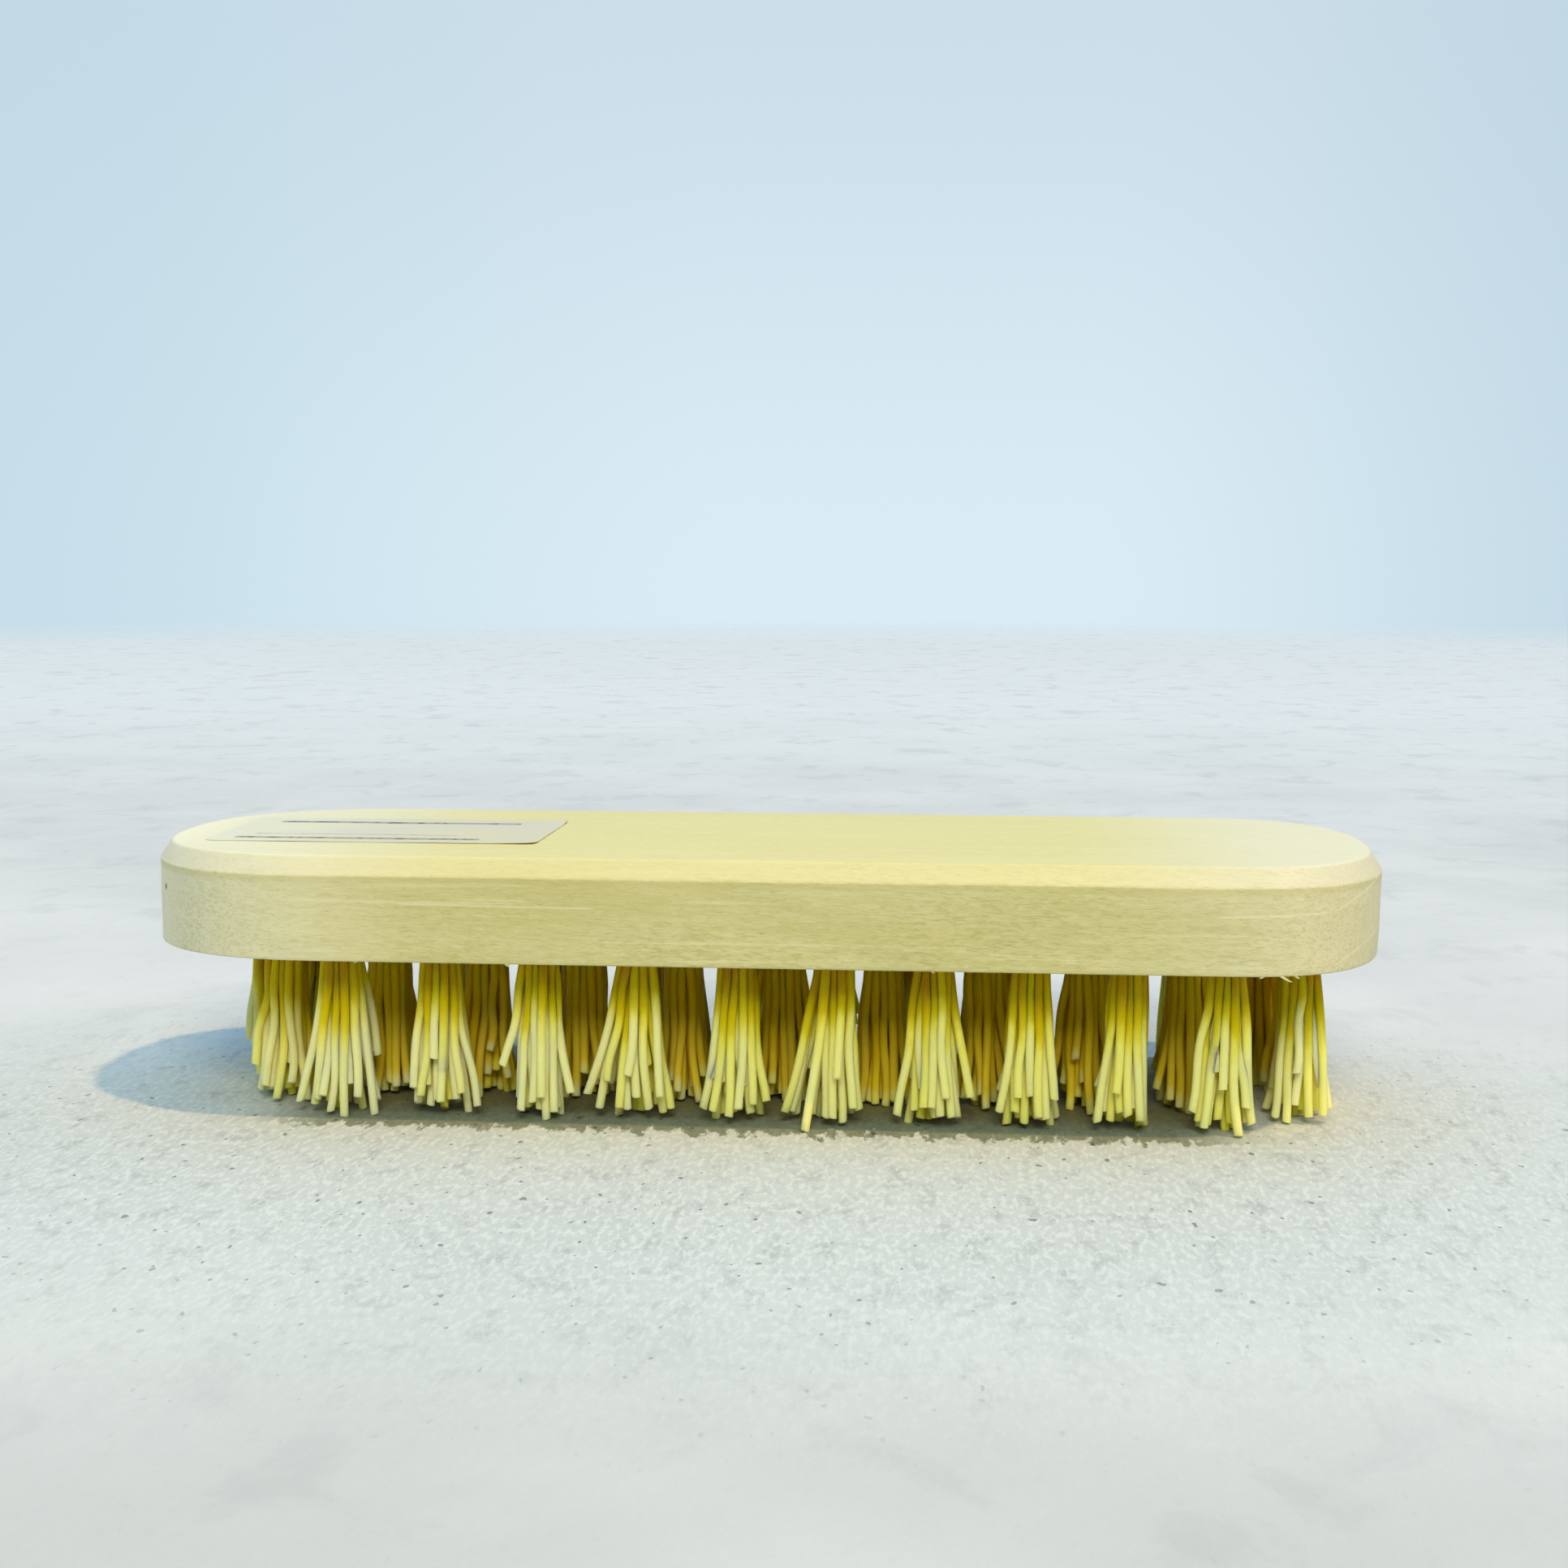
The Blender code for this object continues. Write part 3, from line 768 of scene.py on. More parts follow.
def block_outline():
    """The outline in even steps, the outward direction and the way round at each step."""
    half_width = BLOCK_HIGH.y
    ends = [
        end_points(BLOCK_HIGH.x, RIGHT_END_LENGTH, half_width, 1),
        end_points(BLOCK_LOW.x, LEFT_END_LENGTH, half_width, -1),
    ]
    corners = np.concatenate(ends)
    closed = np.vstack([corners, corners[:1]])
    reach = np.concatenate([[0.0], np.cumsum(np.linalg.norm(np.diff(closed, axis=0), axis=1))])
    count = round(reach[-1] / OUTLINE_SPACING)
    wanted = np.linspace(0.0, reach[-1], count, endpoint=False)
    points = np.stack([np.interp(wanted, reach, closed[:, i]) for i in (0, 1)], axis=1)
    ahead = np.roll(points, -1, axis=0) - np.roll(points, 1, axis=0)
    ahead /= np.linalg.norm(ahead, axis=1, keepdims=True)
    outward = np.stack([ahead[:, 1], -ahead[:, 0]], axis=1)
    return points, outward, wanted


def rounded_corner(before, corner, after, radius, steps):
    """Points of an arc that rounds a corner of a profile."""
    before, corner, after = Vector(before), Vector(corner), Vector(after)
    back = (before - corner).normalized()
    on = (after - corner).normalized()
    half = back.angle(on) / 2
    cut = radius / math.tan(half)
    middle = corner + (back + on).normalized() * (radius / math.sin(half))
    start = corner + back * cut - middle
    end = corner + on * cut - middle
    turn = start.angle_signed(end)
    points = []
    for i in range(steps + 1):
        spin = Matrix.Rotation(-turn * i / steps, 2)
        points.append(tuple(middle + spin @ start))
    return points


def block_profile():
    """The edge's profile as (inset, height) pairs, from the underside to the top."""
    low, high = BLOCK_LOW.z, BLOCK_HIGH.z
    shoulder = high - CHAMFER_HEIGHT
    corners = [(FLAT_RIM, low), (0.0, low), (0.0, shoulder), (CHAMFER_WIDTH, high)]
    corners.append((CHAMFER_WIDTH + FLAT_RIM + TOP_EDGE_RADIUS, high))
    profile = [corners[0]]
    profile += rounded_corner(*corners[0:3], UNDER_EDGE_RADIUS, UNDER_EDGE_STEPS)
    arc = rounded_corner(*corners[1:4], SHOULDER_RADIUS, 4)
    side_start, side_end = profile[-1][1], arc[0][1]
    for i in range(1, SIDE_ROWS):
        profile.append((0.0, side_start + (side_end - side_start) * i / SIDE_ROWS))
    profile += arc
    profile += rounded_corner(*corners[2:5], TOP_EDGE_RADIUS, 5)
    profile.append(corners[4])
    return profile


def sanding_depth(x, height):
    """How deep the sander took the rounded ends below the ridges between its passes."""
    depth = np.zeros(len(x))
    for line, slope in RIDGES:
        places = np.array(line) * MM
        ridge = np.interp(x, places[:, 0], places[:, 1])
        inner = places[0, 0] if places[0, 0] > 0 else -places[-1, 0]
        fade = np.clip((np.abs(x) - inner) / RIDGE_FADE, 0.0, 1.0)
        fade = fade * (np.sign(places[0, 0]) == np.sign(x))
        depth = depth + fade * slope * np.maximum(0.0, ridge - height)
    return depth


def hand_waves(reach, height):
    """Small unevenness of the hand-sanded side."""
    waves = 0.0
    for size, length, start in SIDE_WAVES:
        waves = waves + size * np.sin(reach / (length * MM) + start)
    size, length, rise = SLANTED_WAVE
    waves = waves + size * np.sin(reach / (length * MM) + height / (rise * MM))
    return waves * MM


def block_surface():
    """Rings of points round the block, one for each pair of its profile."""
    points, outward, reach = block_outline()
    low, high = BLOCK_LOW.z, BLOCK_HIGH.z
    rings = []
    for inset, height in block_profile():
        share = (height - low) / (high - low)
        edge = math.sin(math.pi * min(max(share, 0.0), 1.0))
        depth = sanding_depth(points[:, 0], height)
        depth = depth + (hand_waves(reach, height) + SANDED_OFF) * min(1.0, 1.5 * edge)
        flat = points - outward * (inset + depth)[:, None]
        lift = 0.0
        if 0.5 < share < 0.999:
            lift = EDGE_LIFT * np.sin(reach / EDGE_LIFT_LENGTH + EDGE_LIFT_START) * (1 - share) * 2
        level = np.full(len(points), height) + lift
        rings.append(np.column_stack([flat, level]))
    return rings


def hole_cutter(places):
    """Blind drilled holes with the drill's cone at the bottom."""
    bm = bmesh.new()
    low = BLOCK_LOW.z
    for x, y in places:
        loops = []
        for height in (-CUTTER_OVERLAP, HOLE_DEPTH):
            loop = []
            for i in range(HOLE_SIDES):
                angle = 2 * math.pi * i / HOLE_SIDES
                corner = (x + HOLE_RADIUS * math.cos(angle), y + HOLE_RADIUS * math.sin(angle))
                loop.append(bm.verts.new((*corner, low + height)))
            loops.append(loop)
        point = bm.verts.new((x, y, low + HOLE_DEPTH + HOLE_CONE))
        bm.faces.new(loops[0][::-1])
        for i in range(HOLE_SIDES):
            j = (i + 1) % HOLE_SIDES
            bm.faces.new((loops[0][i], loops[0][j], loops[1][j], loops[1][i]))
            bm.faces.new((loops[1][i], loops[1][j], point))
    return cutter_object("hole_cutter", bm)


def pin_cutter():
    """A pin prick in the left end."""
    bm = bmesh.new()
    bmesh.ops.create_cone(
        bm,
        cap_ends=True,
        segments=PIN_SIDES,
        radius1=PIN_RADIUS,
        radius2=PIN_RADIUS * 0.5,
        depth=2 * PIN_DEPTH,
    )
    turn = Vector(PIN_WAY).to_track_quat("Z", "Y").to_matrix().to_4x4()
    bmesh.ops.transform(bm, matrix=Matrix.Translation(PIN_PLACE) @ turn, verts=bm.verts[:])
    return cutter_object("pin_cutter", bm)


def cutter_object(name, bm):
    bmesh.ops.recalc_face_normals(bm, faces=bm.faces[:])
    mesh = bpy.data.meshes.new(name)
    bm.to_mesh(mesh)
    bm.free()
    item = bpy.data.objects.new(name, mesh)
    item.hide_render = True
    bpy.context.collection.objects.link(item)
    return item


def make_block(places, material):
    rings = block_surface()
    count = len(rings[0])
    last = (len(rings) - 1) * count
    polygons = []
    for first in range(0, last, count):
        polygons += ring_walls(first, first + count, count)
    polygons.append(tuple(range(count))[::-1])
    polygons.append(tuple(last + i for i in range(count)))
    raw = mesh_from("wood_block_raw", np.concatenate(rings), polygons, BLOCK_SMOOTH_ANGLE)
    solid = bpy.data.objects.new("wood_block_raw", raw)
    bpy.context.collection.objects.link(solid)
    cutters = [hole_cutter(places), pin_cutter()]
    for cutter in cutters:
        cut = solid.modifiers.new(cutter.name, "BOOLEAN")
        cut.operation = "DIFFERENCE"
        cut.object = cutter
    evaluated = solid.evaluated_get(bpy.context.evaluated_depsgraph_get())
    drilled = bpy.data.meshes.new_from_object(evaluated)
    for helper in (solid, *cutters):
        bpy.data.objects.remove(helper, do_unlink=True)
    drilled.materials.clear()
    drilled.shade_smooth()
    drilled.set_sharp_from_angle(angle=math.radians(BLOCK_SMOOTH_ANGLE))
    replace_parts(piece("dressed_block", drilled, material), "wood_block")


def splinter(base, length, lean, out, start):
    """Points of one flat pointed sliver, and its faces from the start number on."""
    way = Vector((lean, out * 0.4, -0.55)).normalized()
    side = way.cross(Vector((0, 1, 0))).normalized()
    deep = way.cross(side)
    points = []
    for share, width in SPLINTER_RINGS:
        middle = base + way * length * share * MM + Vector((0, 0, 0.25 * share**2 * MM))
        for i in range(SPLINTER_SIDES):
            angle = 2 * math.pi * i / SPLINTER_SIDES
            across = side * math.cos(angle) * width
            spoke = across + deep * math.sin(angle) * width * SPLINTER_FLATNESS
            points.append(middle + spoke * MM)
    points.append(base + way * length * MM + Vector((0, 0, 0.3 * MM)))
    last = start + (len(SPLINTER_RINGS) - 1) * SPLINTER_SIDES
    faces = [tuple(start + i for i in range(SPLINTER_SIDES))[::-1]]
    for first in range(start, last, SPLINTER_SIDES):
        faces += ring_walls(first, first + SPLINTER_SIDES, SPLINTER_SIDES)
    for i in range(SPLINTER_SIDES):
        faces.append((last + i, last + (i + 1) % SPLINTER_SIDES, last + SPLINTER_SIDES))
    return points, faces


def make_splinters(material):
    """Slivers that the saw left along the lower edge."""
    outline = block_outline()[0]
    front = outline[outline[:, 1] < -5 * MM]
    inset, height = SPLINTER_ROOT
    verts, polygons = [], []
    for x, length, lean, out in SPLINTERS:
        spot = front[np.argmin(np.abs(front[:, 0] - x * MM))]
        base = Vector((x * MM, spot[1] + inset, BLOCK_LOW.z + height))
        points, faces = splinter(base, length, lean, out, len(verts))
        verts += points
        polygons += faces
    piece("edge_splinters", mesh_from("edge_splinters", verts, polygons, 40), material)


# ---- Tufts


def tuft_nodes():
    return sorted(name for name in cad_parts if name.startswith("tuft_"))


def hole_place(name):
    """The middle of a tuft's plug, from its solid in the frame."""
    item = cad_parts[name]
    points = np.array([v.co[:] for v in item.data.vertices])
    inside = points[points[:, 2] > BLOCK_LOW.z + 1 * MM]
    return (inside.min(0) + inside.max(0))[:2] / 2


def fold_rows(rng):
    """Root places of both halves of each folded filament, and its fold's radius, in mm."""
    halves = []
    for (count, offset, pitch), fold in zip(FOLDS_PER_ROW, FOLD_RADII):
        for i in range(count):
            x = (i - (count - 1) / 2) * pitch
            nudge = rng.uniform(-ROOT_NUDGE, ROOT_NUDGE, 4)
            one = (x + nudge[0], offset + nudge[1])
            other = (x + nudge[2], -offset + nudge[3])
            halves.append((one, other, fold))
    return halves


def bundle_tips(roots, place, rng):
    """Tips of a loose bundle with some strays, and their uneven heights over the floor."""
    along = max((place[0] - FIELD_MIDDLE) / FIELD_HALF_LENGTH, LEFT_LEAN_LIMIT)
    across = place[1] / FIELD_HALF_WIDTH
    lean = np.array([OUTWARD_LEAN * along**3, OUTWARD_LEAN * across**3])
    lean = lean + rng.normal(0.0, LEAN_SPREAD, 2)
    distance = np.linalg.norm(roots, axis=1)
    count = len(roots)
    spread = TIP_REACH * (distance / ROOT_REACH) ** TIP_REACH_POWER
    spread = spread * (1 + rng.normal(0.0, TIP_REACH_SPREAD, count))
    strays = (rng.random(count) < STRAY_SHARE) & (distance > STRAY_ROOT_SHARE * ROOT_REACH)
    spread = spread + strays * rng.uniform(*STRAY_REACH, count)
    tips = lean + roots / distance[:, None] * spread[:, None]
    tips = tips + rng.normal(0.0, TIP_SPREAD, (count, 2))
    levels = np.minimum(LEVEL_LOW + rng.exponential(LEVEL_MEAN, count), LEVEL_HIGH)
    short = rng.random(count) < SHORT_SHARE
    levels = np.where(short, rng.uniform(*SHORT_LEVELS, count), levels)
    levels[rng.integers(count)] = STANDING_LEVEL
    return tips, levels


def place_seen_tips(seen, roots, tips, levels):
    """Give the tips in view to the front filaments, and gather the rest behind them."""
    low = min(tip[0] for tip in seen)
    high = max(tip[0] for tip in seen)
    middle = (low + high) / 2
    half = min((high - low) / 2 - 0.4, SEEN_REACH)
    centred = tips[:, 0] - tips[:, 0].mean() + middle * 0.6
    tips[:, 0] = np.clip(centred, middle - half, middle + half)
    free = [i for i in range(len(roots)) if roots[i][1] < 0]
    for x, level, *far in sorted(seen):
        best = min(free, key=lambda i: abs(1.5 * roots[i][0] - x) - 0.35 * abs(roots[i][1]))
        free.remove(best)
        arc = SEEN_REACH * math.sqrt(max(0.15, 1 - (x / SEEN_HALF_WIDTH) ** 2))
        tips[best] = (x, -(far[0] if far else arc))
        levels[best] = level
    for i in free:
        tips[i, 1] = max(tips[i, 1], -BEHIND_REACH)
        levels[i] = max(levels[i], BEHIND_LEVEL)


def tuft_paths(name, place, rng):
    """Root, free path targets and habits of every filament end of one tuft."""
    folds = fold_rows(rng)
    roots = np.array([half for fold in folds for half in fold[:2]])
    count = len(roots)
    tips, levels = bundle_tips(roots, place, rng)
    if name in SEEN_TIPS:
        place_seen_tips(SEEN_TIPS[name], roots, tips, levels)
    flare = np.linalg.norm(tips - roots, axis=1)
    out = np.linalg.norm(tips, axis=1)
    return {
        "roots": roots * MM + place,
        "tips": tips * MM + place,
        "levels": levels * MM,
        "folds": [fold[2] * MM for fold in folds],
        "straight": np.clip((flare - STRAIGHT_FLARES[0]) / STRAIGHT_FLARES[1], *STRAIGHT_SHARES),
        "tone": rng.random(count),
        "outer": np.clip((out - OUTER_TIPS[0]) / OUTER_TIPS[1], 0.0, 1.0),
        "wave_way": rng.uniform(0, 2 * np.pi, count),
        "wave_size": rng.uniform(*WAVE_SIZES, count) * MM,
        "wave_turns": rng.uniform(*WAVE_TURNS, count),
        "wave_start": rng.uniform(0, 2 * np.pi, count),
        "kink": rng.normal(0.0, KINK_SIZE, (count, 2)) * MM,
        "kink_start": rng.uniform(*KINK_STARTS, count),
        "swell": rng.uniform(*SWELLS, count),
        "tilt": rng.normal(0.0, CUT_SLANT, (count, 2)),
    }


def free_paths(tufts):
    """Middle lines of all the free filament ends, pushed clear of each other."""
    join = {key: np.concatenate([t[key] for t in tufts]) for key in tufts[0] if key != "folds"}
    share = np.linspace(0.0, 1.0, FREE_STEPS)[:, None, None]
    straight = join["straight"][:, None]
    flare = straight * share + (1 - straight) * share**FLARE_POWER
    path = join["roots"] + (join["tips"] - join["roots"]) * flare
    swing = np.sin(2 * np.pi * join["wave_turns"][:, None] * share + join["wave_start"][:, None])
    swing = swing - np.sin(join["wave_start"][:, None])
    way = np.stack([np.cos(join["wave_way"]), np.sin(join["wave_way"])], axis=1)
    path = path + swing * way * join["wave_size"][:, None] * np.minimum(1.0, 3 * share)
    bend = np.maximum(0.0, share - join["kink_start"][:, None]) / KINK_LENGTH
    path = path + bend * join["kink"]
    near = near_pairs(join["roots"])
    spacing = ROOT_SPACING + (TIP_SPACING - ROOT_SPACING) * share[:, 0, 0]
    spacing = spacing * np.minimum(1.0, 0.8 + share[:, 0, 0])
    for step in range(1, FREE_STEPS):
        moved = push_apart(path[step].copy(), near, spacing[step], FIRST_ROUNDS)
        path[step:] = path[step:] + (moved - path[step])
    for _ in range(2):
        path[1:-1] = 0.25 * path[:-2] + 0.5 * path[1:-1] + 0.25 * path[2:]
    for step in range(1, FREE_STEPS):
        path[step] = push_apart(path[step], near, spacing[step], LAST_ROUNDS)
    heights = BLOCK_LOW.z + (join["levels"] - BLOCK_LOW.z) * share[:, :, 0]
    return np.concatenate([path, heights[:, :, None]], axis=2)


def near_pairs(roots):
    """Numbers of the filament ends whose roots are close enough for them to meet."""
    first, second = np.triu_indices(len(roots), 1)
    distance = np.linalg.norm(roots[first] - roots[second], axis=1)
    near = distance < NEIGHBOUR_DISTANCE
    return first[near], second[near]


def push_apart(points, pairs, gap, rounds):
    """Move points that are closer than the gap away from each other."""
    first, second = pairs
    for _ in range(rounds):
        apart = points[first] - points[second]
        distance = np.linalg.norm(apart, axis=1)
        close = distance < gap
        if not close.any():
            break
        a, b = first[close], second[close]
        apart, distance = apart[close], distance[close]
        push = apart / np.maximum(distance, 1e-7)[:, None]
        push = push * ((gap - distance) * PUSH_SHARE)[:, None]
        np.add.at(points, a, push)
        np.add.at(points, b, -push)
    return points


def folded_lines(ends, folds):
    """Middle line of each filament from one tip over the wire to the other tip."""
    low = BLOCK_LOW.z
    centre_z = low + PLUG_DEPTH - PLUG_THICKNESS / 2 - FOLD_RADII[-1] * MM
    bend_start, bend_end = (low + bend for bend in PLUG_BENDS)
    lines = []
    for number, fold in enumerate(folds):
        one = ends[:, 2 * number]
        other = ends[:, 2 * number + 1]
        middle_y = (one[0][1] + other[0][1]) / 2
        inner = []
        for i in range(FOLD_STEPS + 1):
            angle = math.pi * i / FOLD_STEPS
            x = one[0][0] + (other[0][0] - one[0][0]) * i / FOLD_STEPS
            y = middle_y + fold * math.cos(angle)
            inner.append((x, y, centre_z + fold * math.sin(angle)))
        rise = [(one[0][0], one[0][1], bend_start), (one[0][0], inner[0][1], bend_end)]
        fall = [(other[0][0], inner[-1][1], bend_end), (other[0][0], other[0][1], bend_start)]
        lines.append(np.concatenate([one[::-1], rise, inner, fall, other]))
    return np.array(lines)


def tube_rings(lines, radii):
    """Round sections along each line; every line keeps clear of the x direction."""
    ahead = np.gradient(lines, axis=1)
    ahead /= np.linalg.norm(ahead, axis=2, keepdims=True)
    side = np.array([1.0, 0.0, 0.0]) - ahead[:, :, :1] * ahead
    side /= np.linalg.norm(side, axis=2, keepdims=True)
    deep = np.cross(ahead, side)
    angle = 2 * np.pi * np.arange(FILAMENT_SIDES) / FILAMENT_SIDES
    spoke = side[:, :, None] * np.cos(angle)[:, None] + deep[:, :, None] * np.sin(angle)[:, None]
    return lines[:, :, None] + spoke * radii[:, :, None, None], ahead


def cut_ends(lines, rings, ahead, tilt, end):
    """Slant the last ring of each line at one end, and give the rings of the cut faces."""
    ring = -end
    outward = 1.0 if end else -1.0
    middle = lines[:, ring]
    way = ahead[:, ring] * outward
    spokes = rings[:, ring] - middle[:, None]
    slant = np.einsum("nij,nj->ni", spokes[:, :, :2], tilt[:, end])
    rings[:, ring] = rings[:, ring] + way[:, None] * slant[:, :, None]
    rise = slant[:, :, None] * CUT_SHARE + CUT_RISE
    return middle[:, None] + spokes * CUT_SHARE + way[:, None] * rise


def tube_faces(count, length):
    """Faces of a tuft's tubes: their walls, the rims of their cuts and the cut faces."""
    sides = FILAMENT_SIDES
    body = length * sides
    last, far = body - sides, body + sides
    turn = np.arange(sides)
    on = (turn + 1) % sides
    ring = np.arange(length - 1)[:, None] * sides
    walls = np.stack([ring + turn, ring + on, ring + on + sides, ring + turn + sides], axis=2)
    low_rim = np.stack([body + turn, body + on, on, turn], axis=1)
    high_rim = np.stack([last + turn, last + on, far + on, far + turn], axis=1)
    quads = np.concatenate([walls.reshape(-1, 4), low_rim, high_rim])
    faces = []
    for n in range(count):
        first = n * (body + 2 * sides)
        faces += (quads + first).tolist()
        faces.append([first + body + i for i in range(sides)][::-1])
        faces.append([first + far + i for i in range(sides)])
    return faces


def add_attributes(mesh, habits, along, count):
    """Name for each point how far along, toned, cut and far out its filament is there."""
    sides = FILAMENT_SIDES
    length = len(along)
    body = length * sides
    outer = habits["outer"].reshape(count, 2)
    halves = np.repeat(outer, (length - length // 2, length // 2), axis=1)
    halves = np.concatenate([halves, outer], axis=1)
    values = {
        "along": np.tile(np.concatenate([np.repeat(along, sides), np.ones(2 * sides)]), count),
        "tone": np.repeat(habits["tone"].reshape(count, 2)[:, 0], body + 2 * sides),
        "cut": np.tile(np.concatenate([np.zeros(body), np.ones(2 * sides)]), count),
        "outer": np.repeat(halves, sides, axis=1).ravel(),
    }
    for key, data in values.items():
        layer = mesh.attributes.new(key, "FLOAT", "POINT")
        layer.data.foreach_set("value", data.astype(np.float32))


def tuft_mesh(name, ends, habits):
    """Mesh of one tuft with the attributes along, tone, cut and outer."""
    lines = folded_lines(ends, habits["folds"])
    count, length = lines.shape[:2]
    free = np.linspace(0.0, 1.0, FREE_STEPS)
    along = np.concatenate([free[::-1], np.zeros(length - 2 * FREE_STEPS), free])
    marks = (0.0, ROOT_SWELL_END, ROOT_SWELL_FADE)
    thick = np.interp(along, marks, (PLUG_THICKNESS, ROOT_THICKNESS, TIP_THICKNESS))
    swell = habits["swell"].reshape(count, 2).mean(axis=1)
    rings, ahead = tube_rings(lines, thick[None, :] / 2 * swell[:, None])
    tilt = habits["tilt"].reshape(count, 2, 2)
    caps = [cut_ends(lines, rings, ahead, tilt, end) for end in (0, 1)]
    points = np.concatenate([rings.reshape(count, -1, 3), *caps], axis=1).reshape(-1, 3)
    points[:, 2] = np.maximum(points[:, 2], 0.0)
    mesh = mesh_from(name, points, tube_faces(count, length), FILAMENT_SMOOTH_ANGLE)
    add_attributes(mesh, habits, along, count)
    return mesh


def make_tufts(names, places, material):
    tufts = []
    for number, name in enumerate(names):
        rng = np.random.default_rng(FIRST_SEED + number)
        tufts.append(tuft_paths(name, places[number], rng))
    paths = free_paths(tufts)
    start = 0
    for name, habits in zip(names, tufts):
        count = len(habits["roots"])
        mesh = tuft_mesh(name + "_filaments", paths[:, start:start + count], habits)
        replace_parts(piece(name + "_filaments", mesh, material), name)
        start += count


# ---- Label film


def film_lift(x, y, u, v):
    """Height of the film over its lowest level, in mm."""
    long_way, short_way = FILM_RIPPLE_LENGTHS
    lift = FILM_RIPPLE * math.sin(x / long_way + 1.0) * math.sin(y / short_way)
    for place, (height, start, width) in ((u + v, FAR_CORNER), (u - v, NEAR_CORNER)):
        lift += height * max(0.0, place - start) / width
    return lift + FILM_RIPPLE


def make_label(material):
    """The film lies on the top, with small ripples and a corner that has come up."""
    low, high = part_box("label")
    top_z = BLOCK_HIGH.z + FILM_LIFT
    verts = []
    for layer in (0, 1):
        for j in range(FILM_ROWS + 1):
            for i in range(FILM_COLUMNS + 1):
                u, v = i / FILM_COLUMNS, j / FILM_ROWS
                x = low.x + (high.x - low.x) * u
                y = low.y + (high.y - low.y) * v
                x, y = round_corner(x, y, low, high)
                z = top_z + film_lift(x, y, u, v) * MM + layer * FILM_THICKNESS
                verts.append((x, y, z))
    polygons = []
    wide = FILM_COLUMNS + 1
    layer_size = wide * (FILM_ROWS + 1)
    for j in range(FILM_ROWS):
        for i in range(FILM_COLUMNS):
            a = j * wide + i
            b = a + layer_size
            polygons.append((a, a + wide, a + wide + 1, a + 1))
            polygons.append((b, b + 1, b + wide + 1, b + wide))
    rim = list(range(wide))
    rim += [j * wide + FILM_COLUMNS for j in range(1, FILM_ROWS + 1)]
    rim += [FILM_ROWS * wide + i for i in range(FILM_COLUMNS - 1, -1, -1)]
    rim += [j * wide for j in range(FILM_ROWS - 1, 0, -1)]
    for a, b in zip(rim, rim[1:] + rim[:1]):
        polygons.append((a, b, b + layer_size, a + layer_size))
    mesh = mesh_from("label_film_sheet", verts, polygons, FILM_SMOOTH_ANGLE)
    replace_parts(piece("label_film_sheet", mesh, material), "label")


def round_corner(x, y, low, high):
    """Draw a point of the film's grid in where the film's corner is rounded."""
    r = FILM_CORNER
    core_x = min(max(x, low.x + r), high.x - r)
    core_y = min(max(y, low.y + r), high.y - r)
    dx, dy = x - core_x, y - core_y
    if dx == 0 or dy == 0:
        return x, y
    longest = max(abs(dx), abs(dy))
    scale = longest / math.hypot(dx, dy)
    return core_x + dx * scale, core_y + dy * scale


# ---- Stage


def make_camera():
    data = bpy.data.cameras.new("photo_camera")
    data.lens = CAMERA_LENS
    data.sensor_width = SENSOR_WIDTH
    data.clip_start = 0.01
    data.clip_end = 20.0
    turn = Matrix.Rotation(CAMERA_YAW, 3, "Z")
    turn = turn @ Matrix.Rotation(CAMERA_PITCH, 3, "X")
    turn = turn @ Matrix.Rotation(CAMERA_ROLL, 3, "Y")
    level = Matrix.Rotation(math.pi / 2, 3, "X")
    camera = bpy.data.objects.new("photo_camera", data)
    camera.matrix_world = Matrix.Translation(CAMERA_PLACE) @ (turn @ level).to_4x4()
    bpy.context.collection.objects.link(camera)
    bpy.context.scene.camera = camera


def add_light(data, place, way):
    lamp = bpy.data.objects.new(data.name, data)
    lamp.location = place
    lamp.rotation_euler = Vector(way).to_track_quat("Z", "Y").to_euler()
    bpy.context.collection.objects.link(lamp)


def make_lights():
    key = bpy.data.lights.new("key_light", "SUN")
    key.energy = KEY_STRENGTH
    key.angle = KEY_ANGLE
    key.color = KEY_COLOUR
    add_light(key, KEY_PLACE, KEY_WAY)
    front = bpy.data.lights.new("front_softbox", "AREA")
    front.shape = "SQUARE"
    front.size = FRONT_SIZE
    front.energy = FRONT_POWER
    front.color = FRONT_COLOUR
    add_light(front, FRONT_PLACE, FRONT_PLACE)


def make_world():
    """Soft fill for the object, and a pale blue backdrop for what the camera sees."""
    world = bpy.data.worlds.new("studio")
    world.use_nodes = True
    bpy.context.scene.world = world
    g = Graph(world.node_tree)
    world.node_tree.nodes.clear()
    x, y, z = g.parts(g.add("ShaderNodeTexCoord").outputs["Generated"])
    fill = g.blend(g.span(y, -FILL_TURN, FILL_TURN), FILL_FRONT, FILL_BACK)
    fill = g.blend(g.span(z, *FILL_UP_SPAN), fill, FILL_UP)
    sky = g.blend(g.span(z, *SKY_HEIGHTS), SKY_LOW, SKY_TOP)
    sky = g.mark(sky, x, SKY_LEFT)
    sky = g.mark(sky, x, SKY_RIGHT)
    rays = g.add("ShaderNodeLightPath").outputs
    seen = g.math("MAXIMUM", rays["Is Camera Ray"], rays["Is Glossy Ray"])
    seen = g.math("MAXIMUM", seen, rays["Is Transmission Ray"])
    background = g.add("ShaderNodeBackground", {"Color": g.blend(seen, fill, sky)})
    output = g.add("ShaderNodeOutputWorld")
    g.links.new(background.outputs["Background"], output.inputs["Surface"])


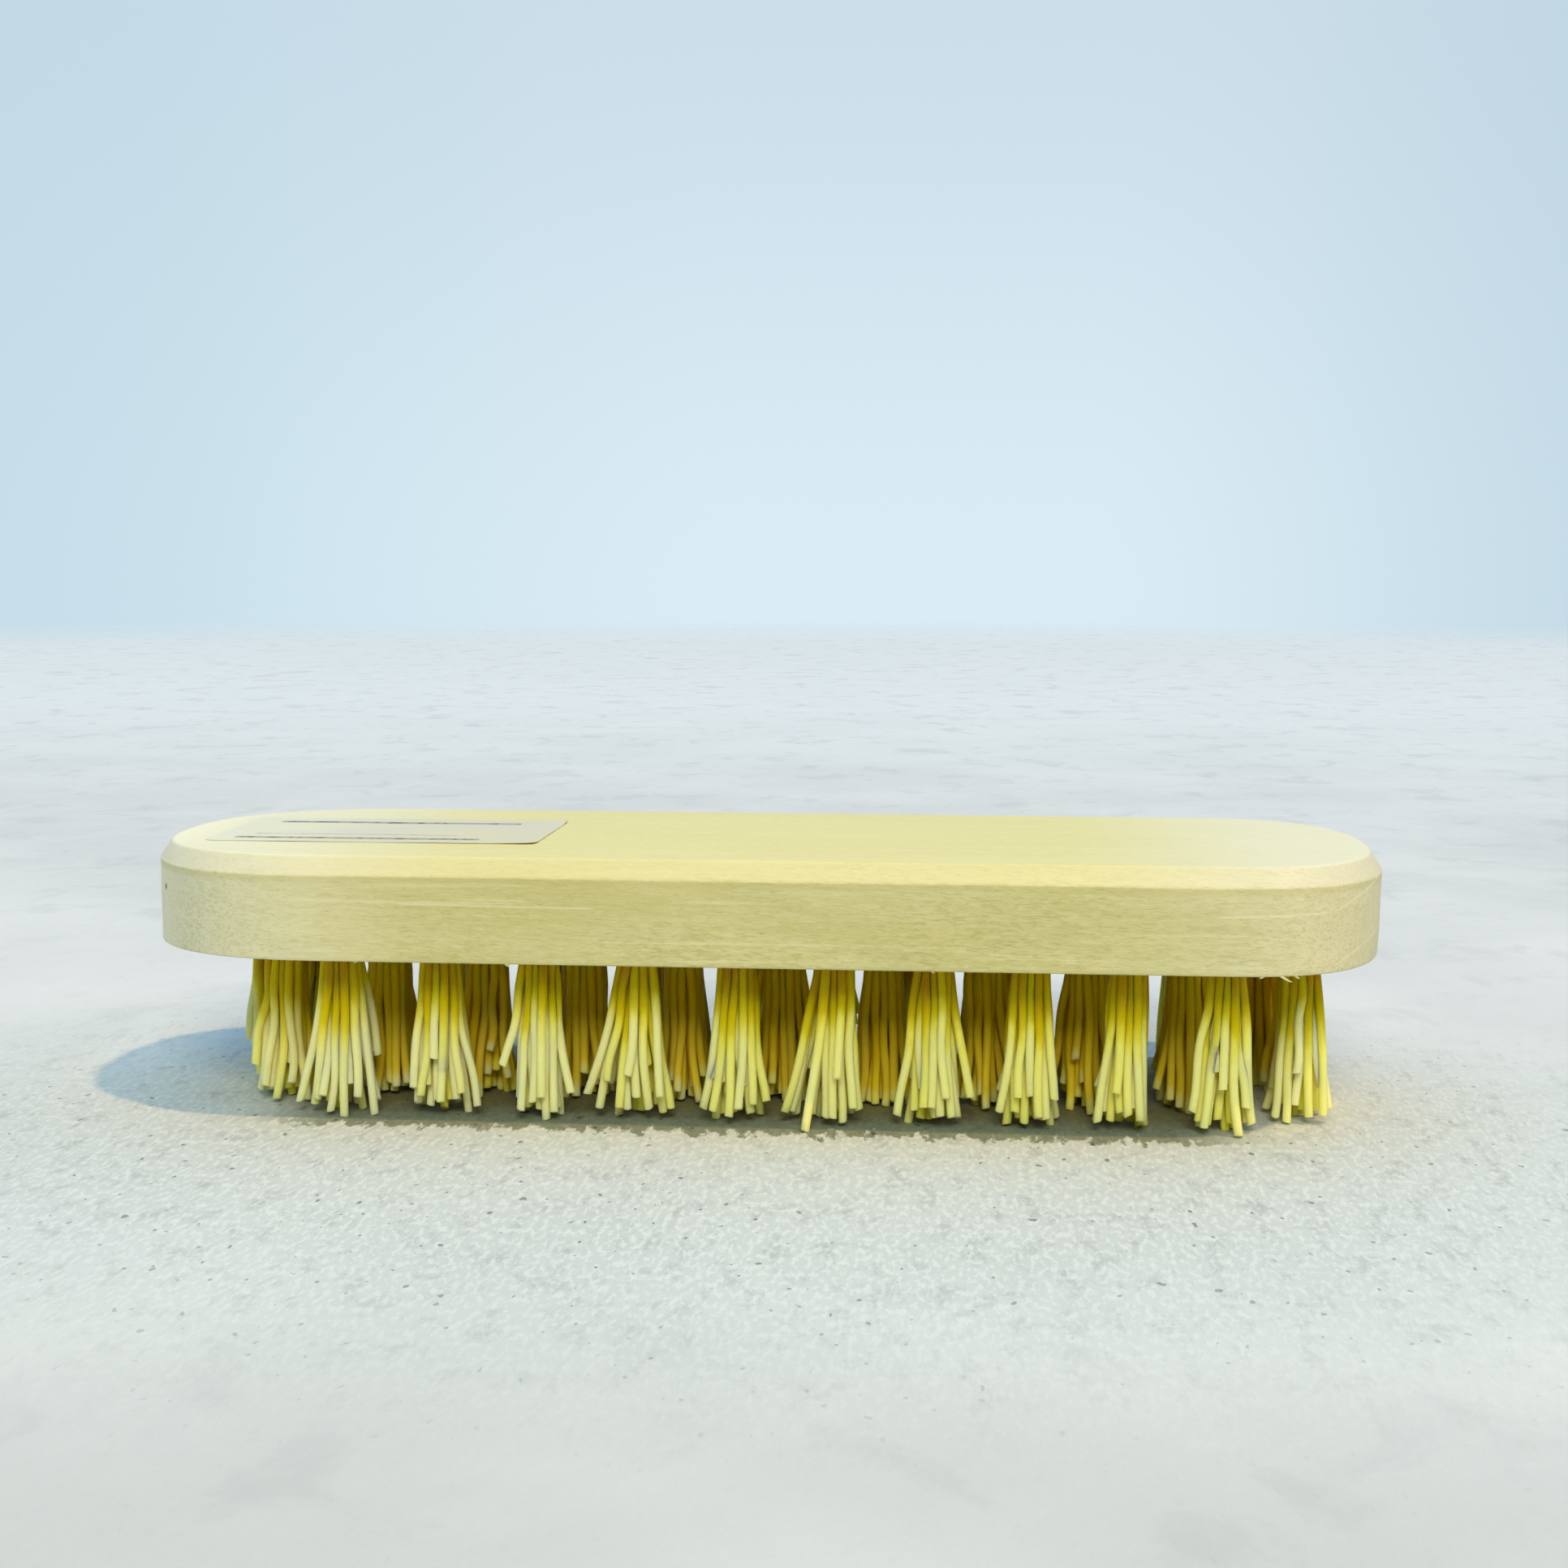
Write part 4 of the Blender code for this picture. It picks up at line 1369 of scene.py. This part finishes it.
def floor_colour(g, place, patterns):
    """Pale mineral; its grain is clear near the brush; painted shade and bounce light tint it
    close to the brush, and a painted shadow darkens it under the block.
    """
    x, y, _ = g.parts(place)
    distance = g.length(g.stretch(place, OVAL_STRETCH, OVAL_MIDDLE))
    values = {**patterns, "distance": distance, "clear": g.span(distance, *CLEAR_GRAIN)}
    colour = g.blend(g.span(patterns["clouds"], *CLOUD_SPAN), FLOOR_COLOUR, FLOOR_PALE)
    colour = g.marks(colour, values, FLOOR_MARKS)
    colour = g.blend(1.0, colour, g.span(y, *NEAR_DIMMING), "MULTIPLY")
    # Painted shadow under the block, deeper near the middle
    uneven = g.math("SUBTRACT", patterns["edge"], 0.5)
    across = g.size(g.math("MULTIPLY_ADD", uneven, PAINTED_SHADOW_EDGE_REACH, y))
    length = g.span(g.size(x), *PAINTED_SHADOW_LENGTH)
    colour = g.darken(g.times(g.span(across, *PAINTED_SHADOW_WIDTH), length), colour, PAINTED_SHADOW_COLOUR)
    deep = g.times(g.span(g.size(y), *DEEP_PAINTED_SHADOW_WIDTH), length)
    return g.darken(deep, colour, DEEP_PAINTED_SHADOW_COLOUR)


def floor_material():
    """Pale floor whose far edge fades away.

    From below it is clear, so that the tips and the underside of the block can be seen.
    """
    material, g, shader = new_material("pale_floor")
    place = g.object_place()
    patterns = g.noises(place, FLOOR_PATTERNS)
    g.fill(shader, {
        "Base Color": floor_colour(g, place, patterns),
        "Roughness": g.span(patterns["grain"], *NOISE_RANGE, *FLOOR_ROUGHNESS),
        "Specular IOR Level": FLOOR_SPECULAR,
        "Normal": g.bump(patterns["grain"], FLOOR_RELIEF),
    })
    clear = g.add("ShaderNodeBsdfTransparent")
    away = g.span(g.length(place), *FLOOR_FADE)
    from_below = g.add("ShaderNodeNewGeometry").outputs["Backfacing"]
    edge = g.add("ShaderNodeMixShader", {0: g.math("MAXIMUM", away, from_below)})
    output = g.nodes["Material Output"]
    g.links.new(shader.outputs["BSDF"], edge.inputs[1])
    g.links.new(clear.outputs["BSDF"], edge.inputs[2])
    g.links.new(edge.outputs["Shader"], output.inputs["Surface"])
    return material


def make_floor():
    bm = bmesh.new()
    bmesh.ops.create_circle(bm, cap_ends=True, segments=FLOOR_SEGMENTS, radius=FLOOR_RADIUS)
    mesh = bpy.data.meshes.new("floor")
    bm.to_mesh(mesh)
    bm.free()
    mesh.materials.append(floor_material())
    floor = bpy.data.objects.new("floor", mesh)
    bpy.context.collection.objects.link(floor)


BLOCK_LOW, BLOCK_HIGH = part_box("wood_block")

make_camera()
make_lights()
make_world()
make_floor()

names = tuft_nodes()
places = [hole_place(name) for name in names]
wood = wood_material()
make_block(places, wood)
make_splinters(wood)
make_tufts(names, places, bristle_material())
make_label(film_material())

bpy.context.scene.view_settings.view_transform = "Standard"
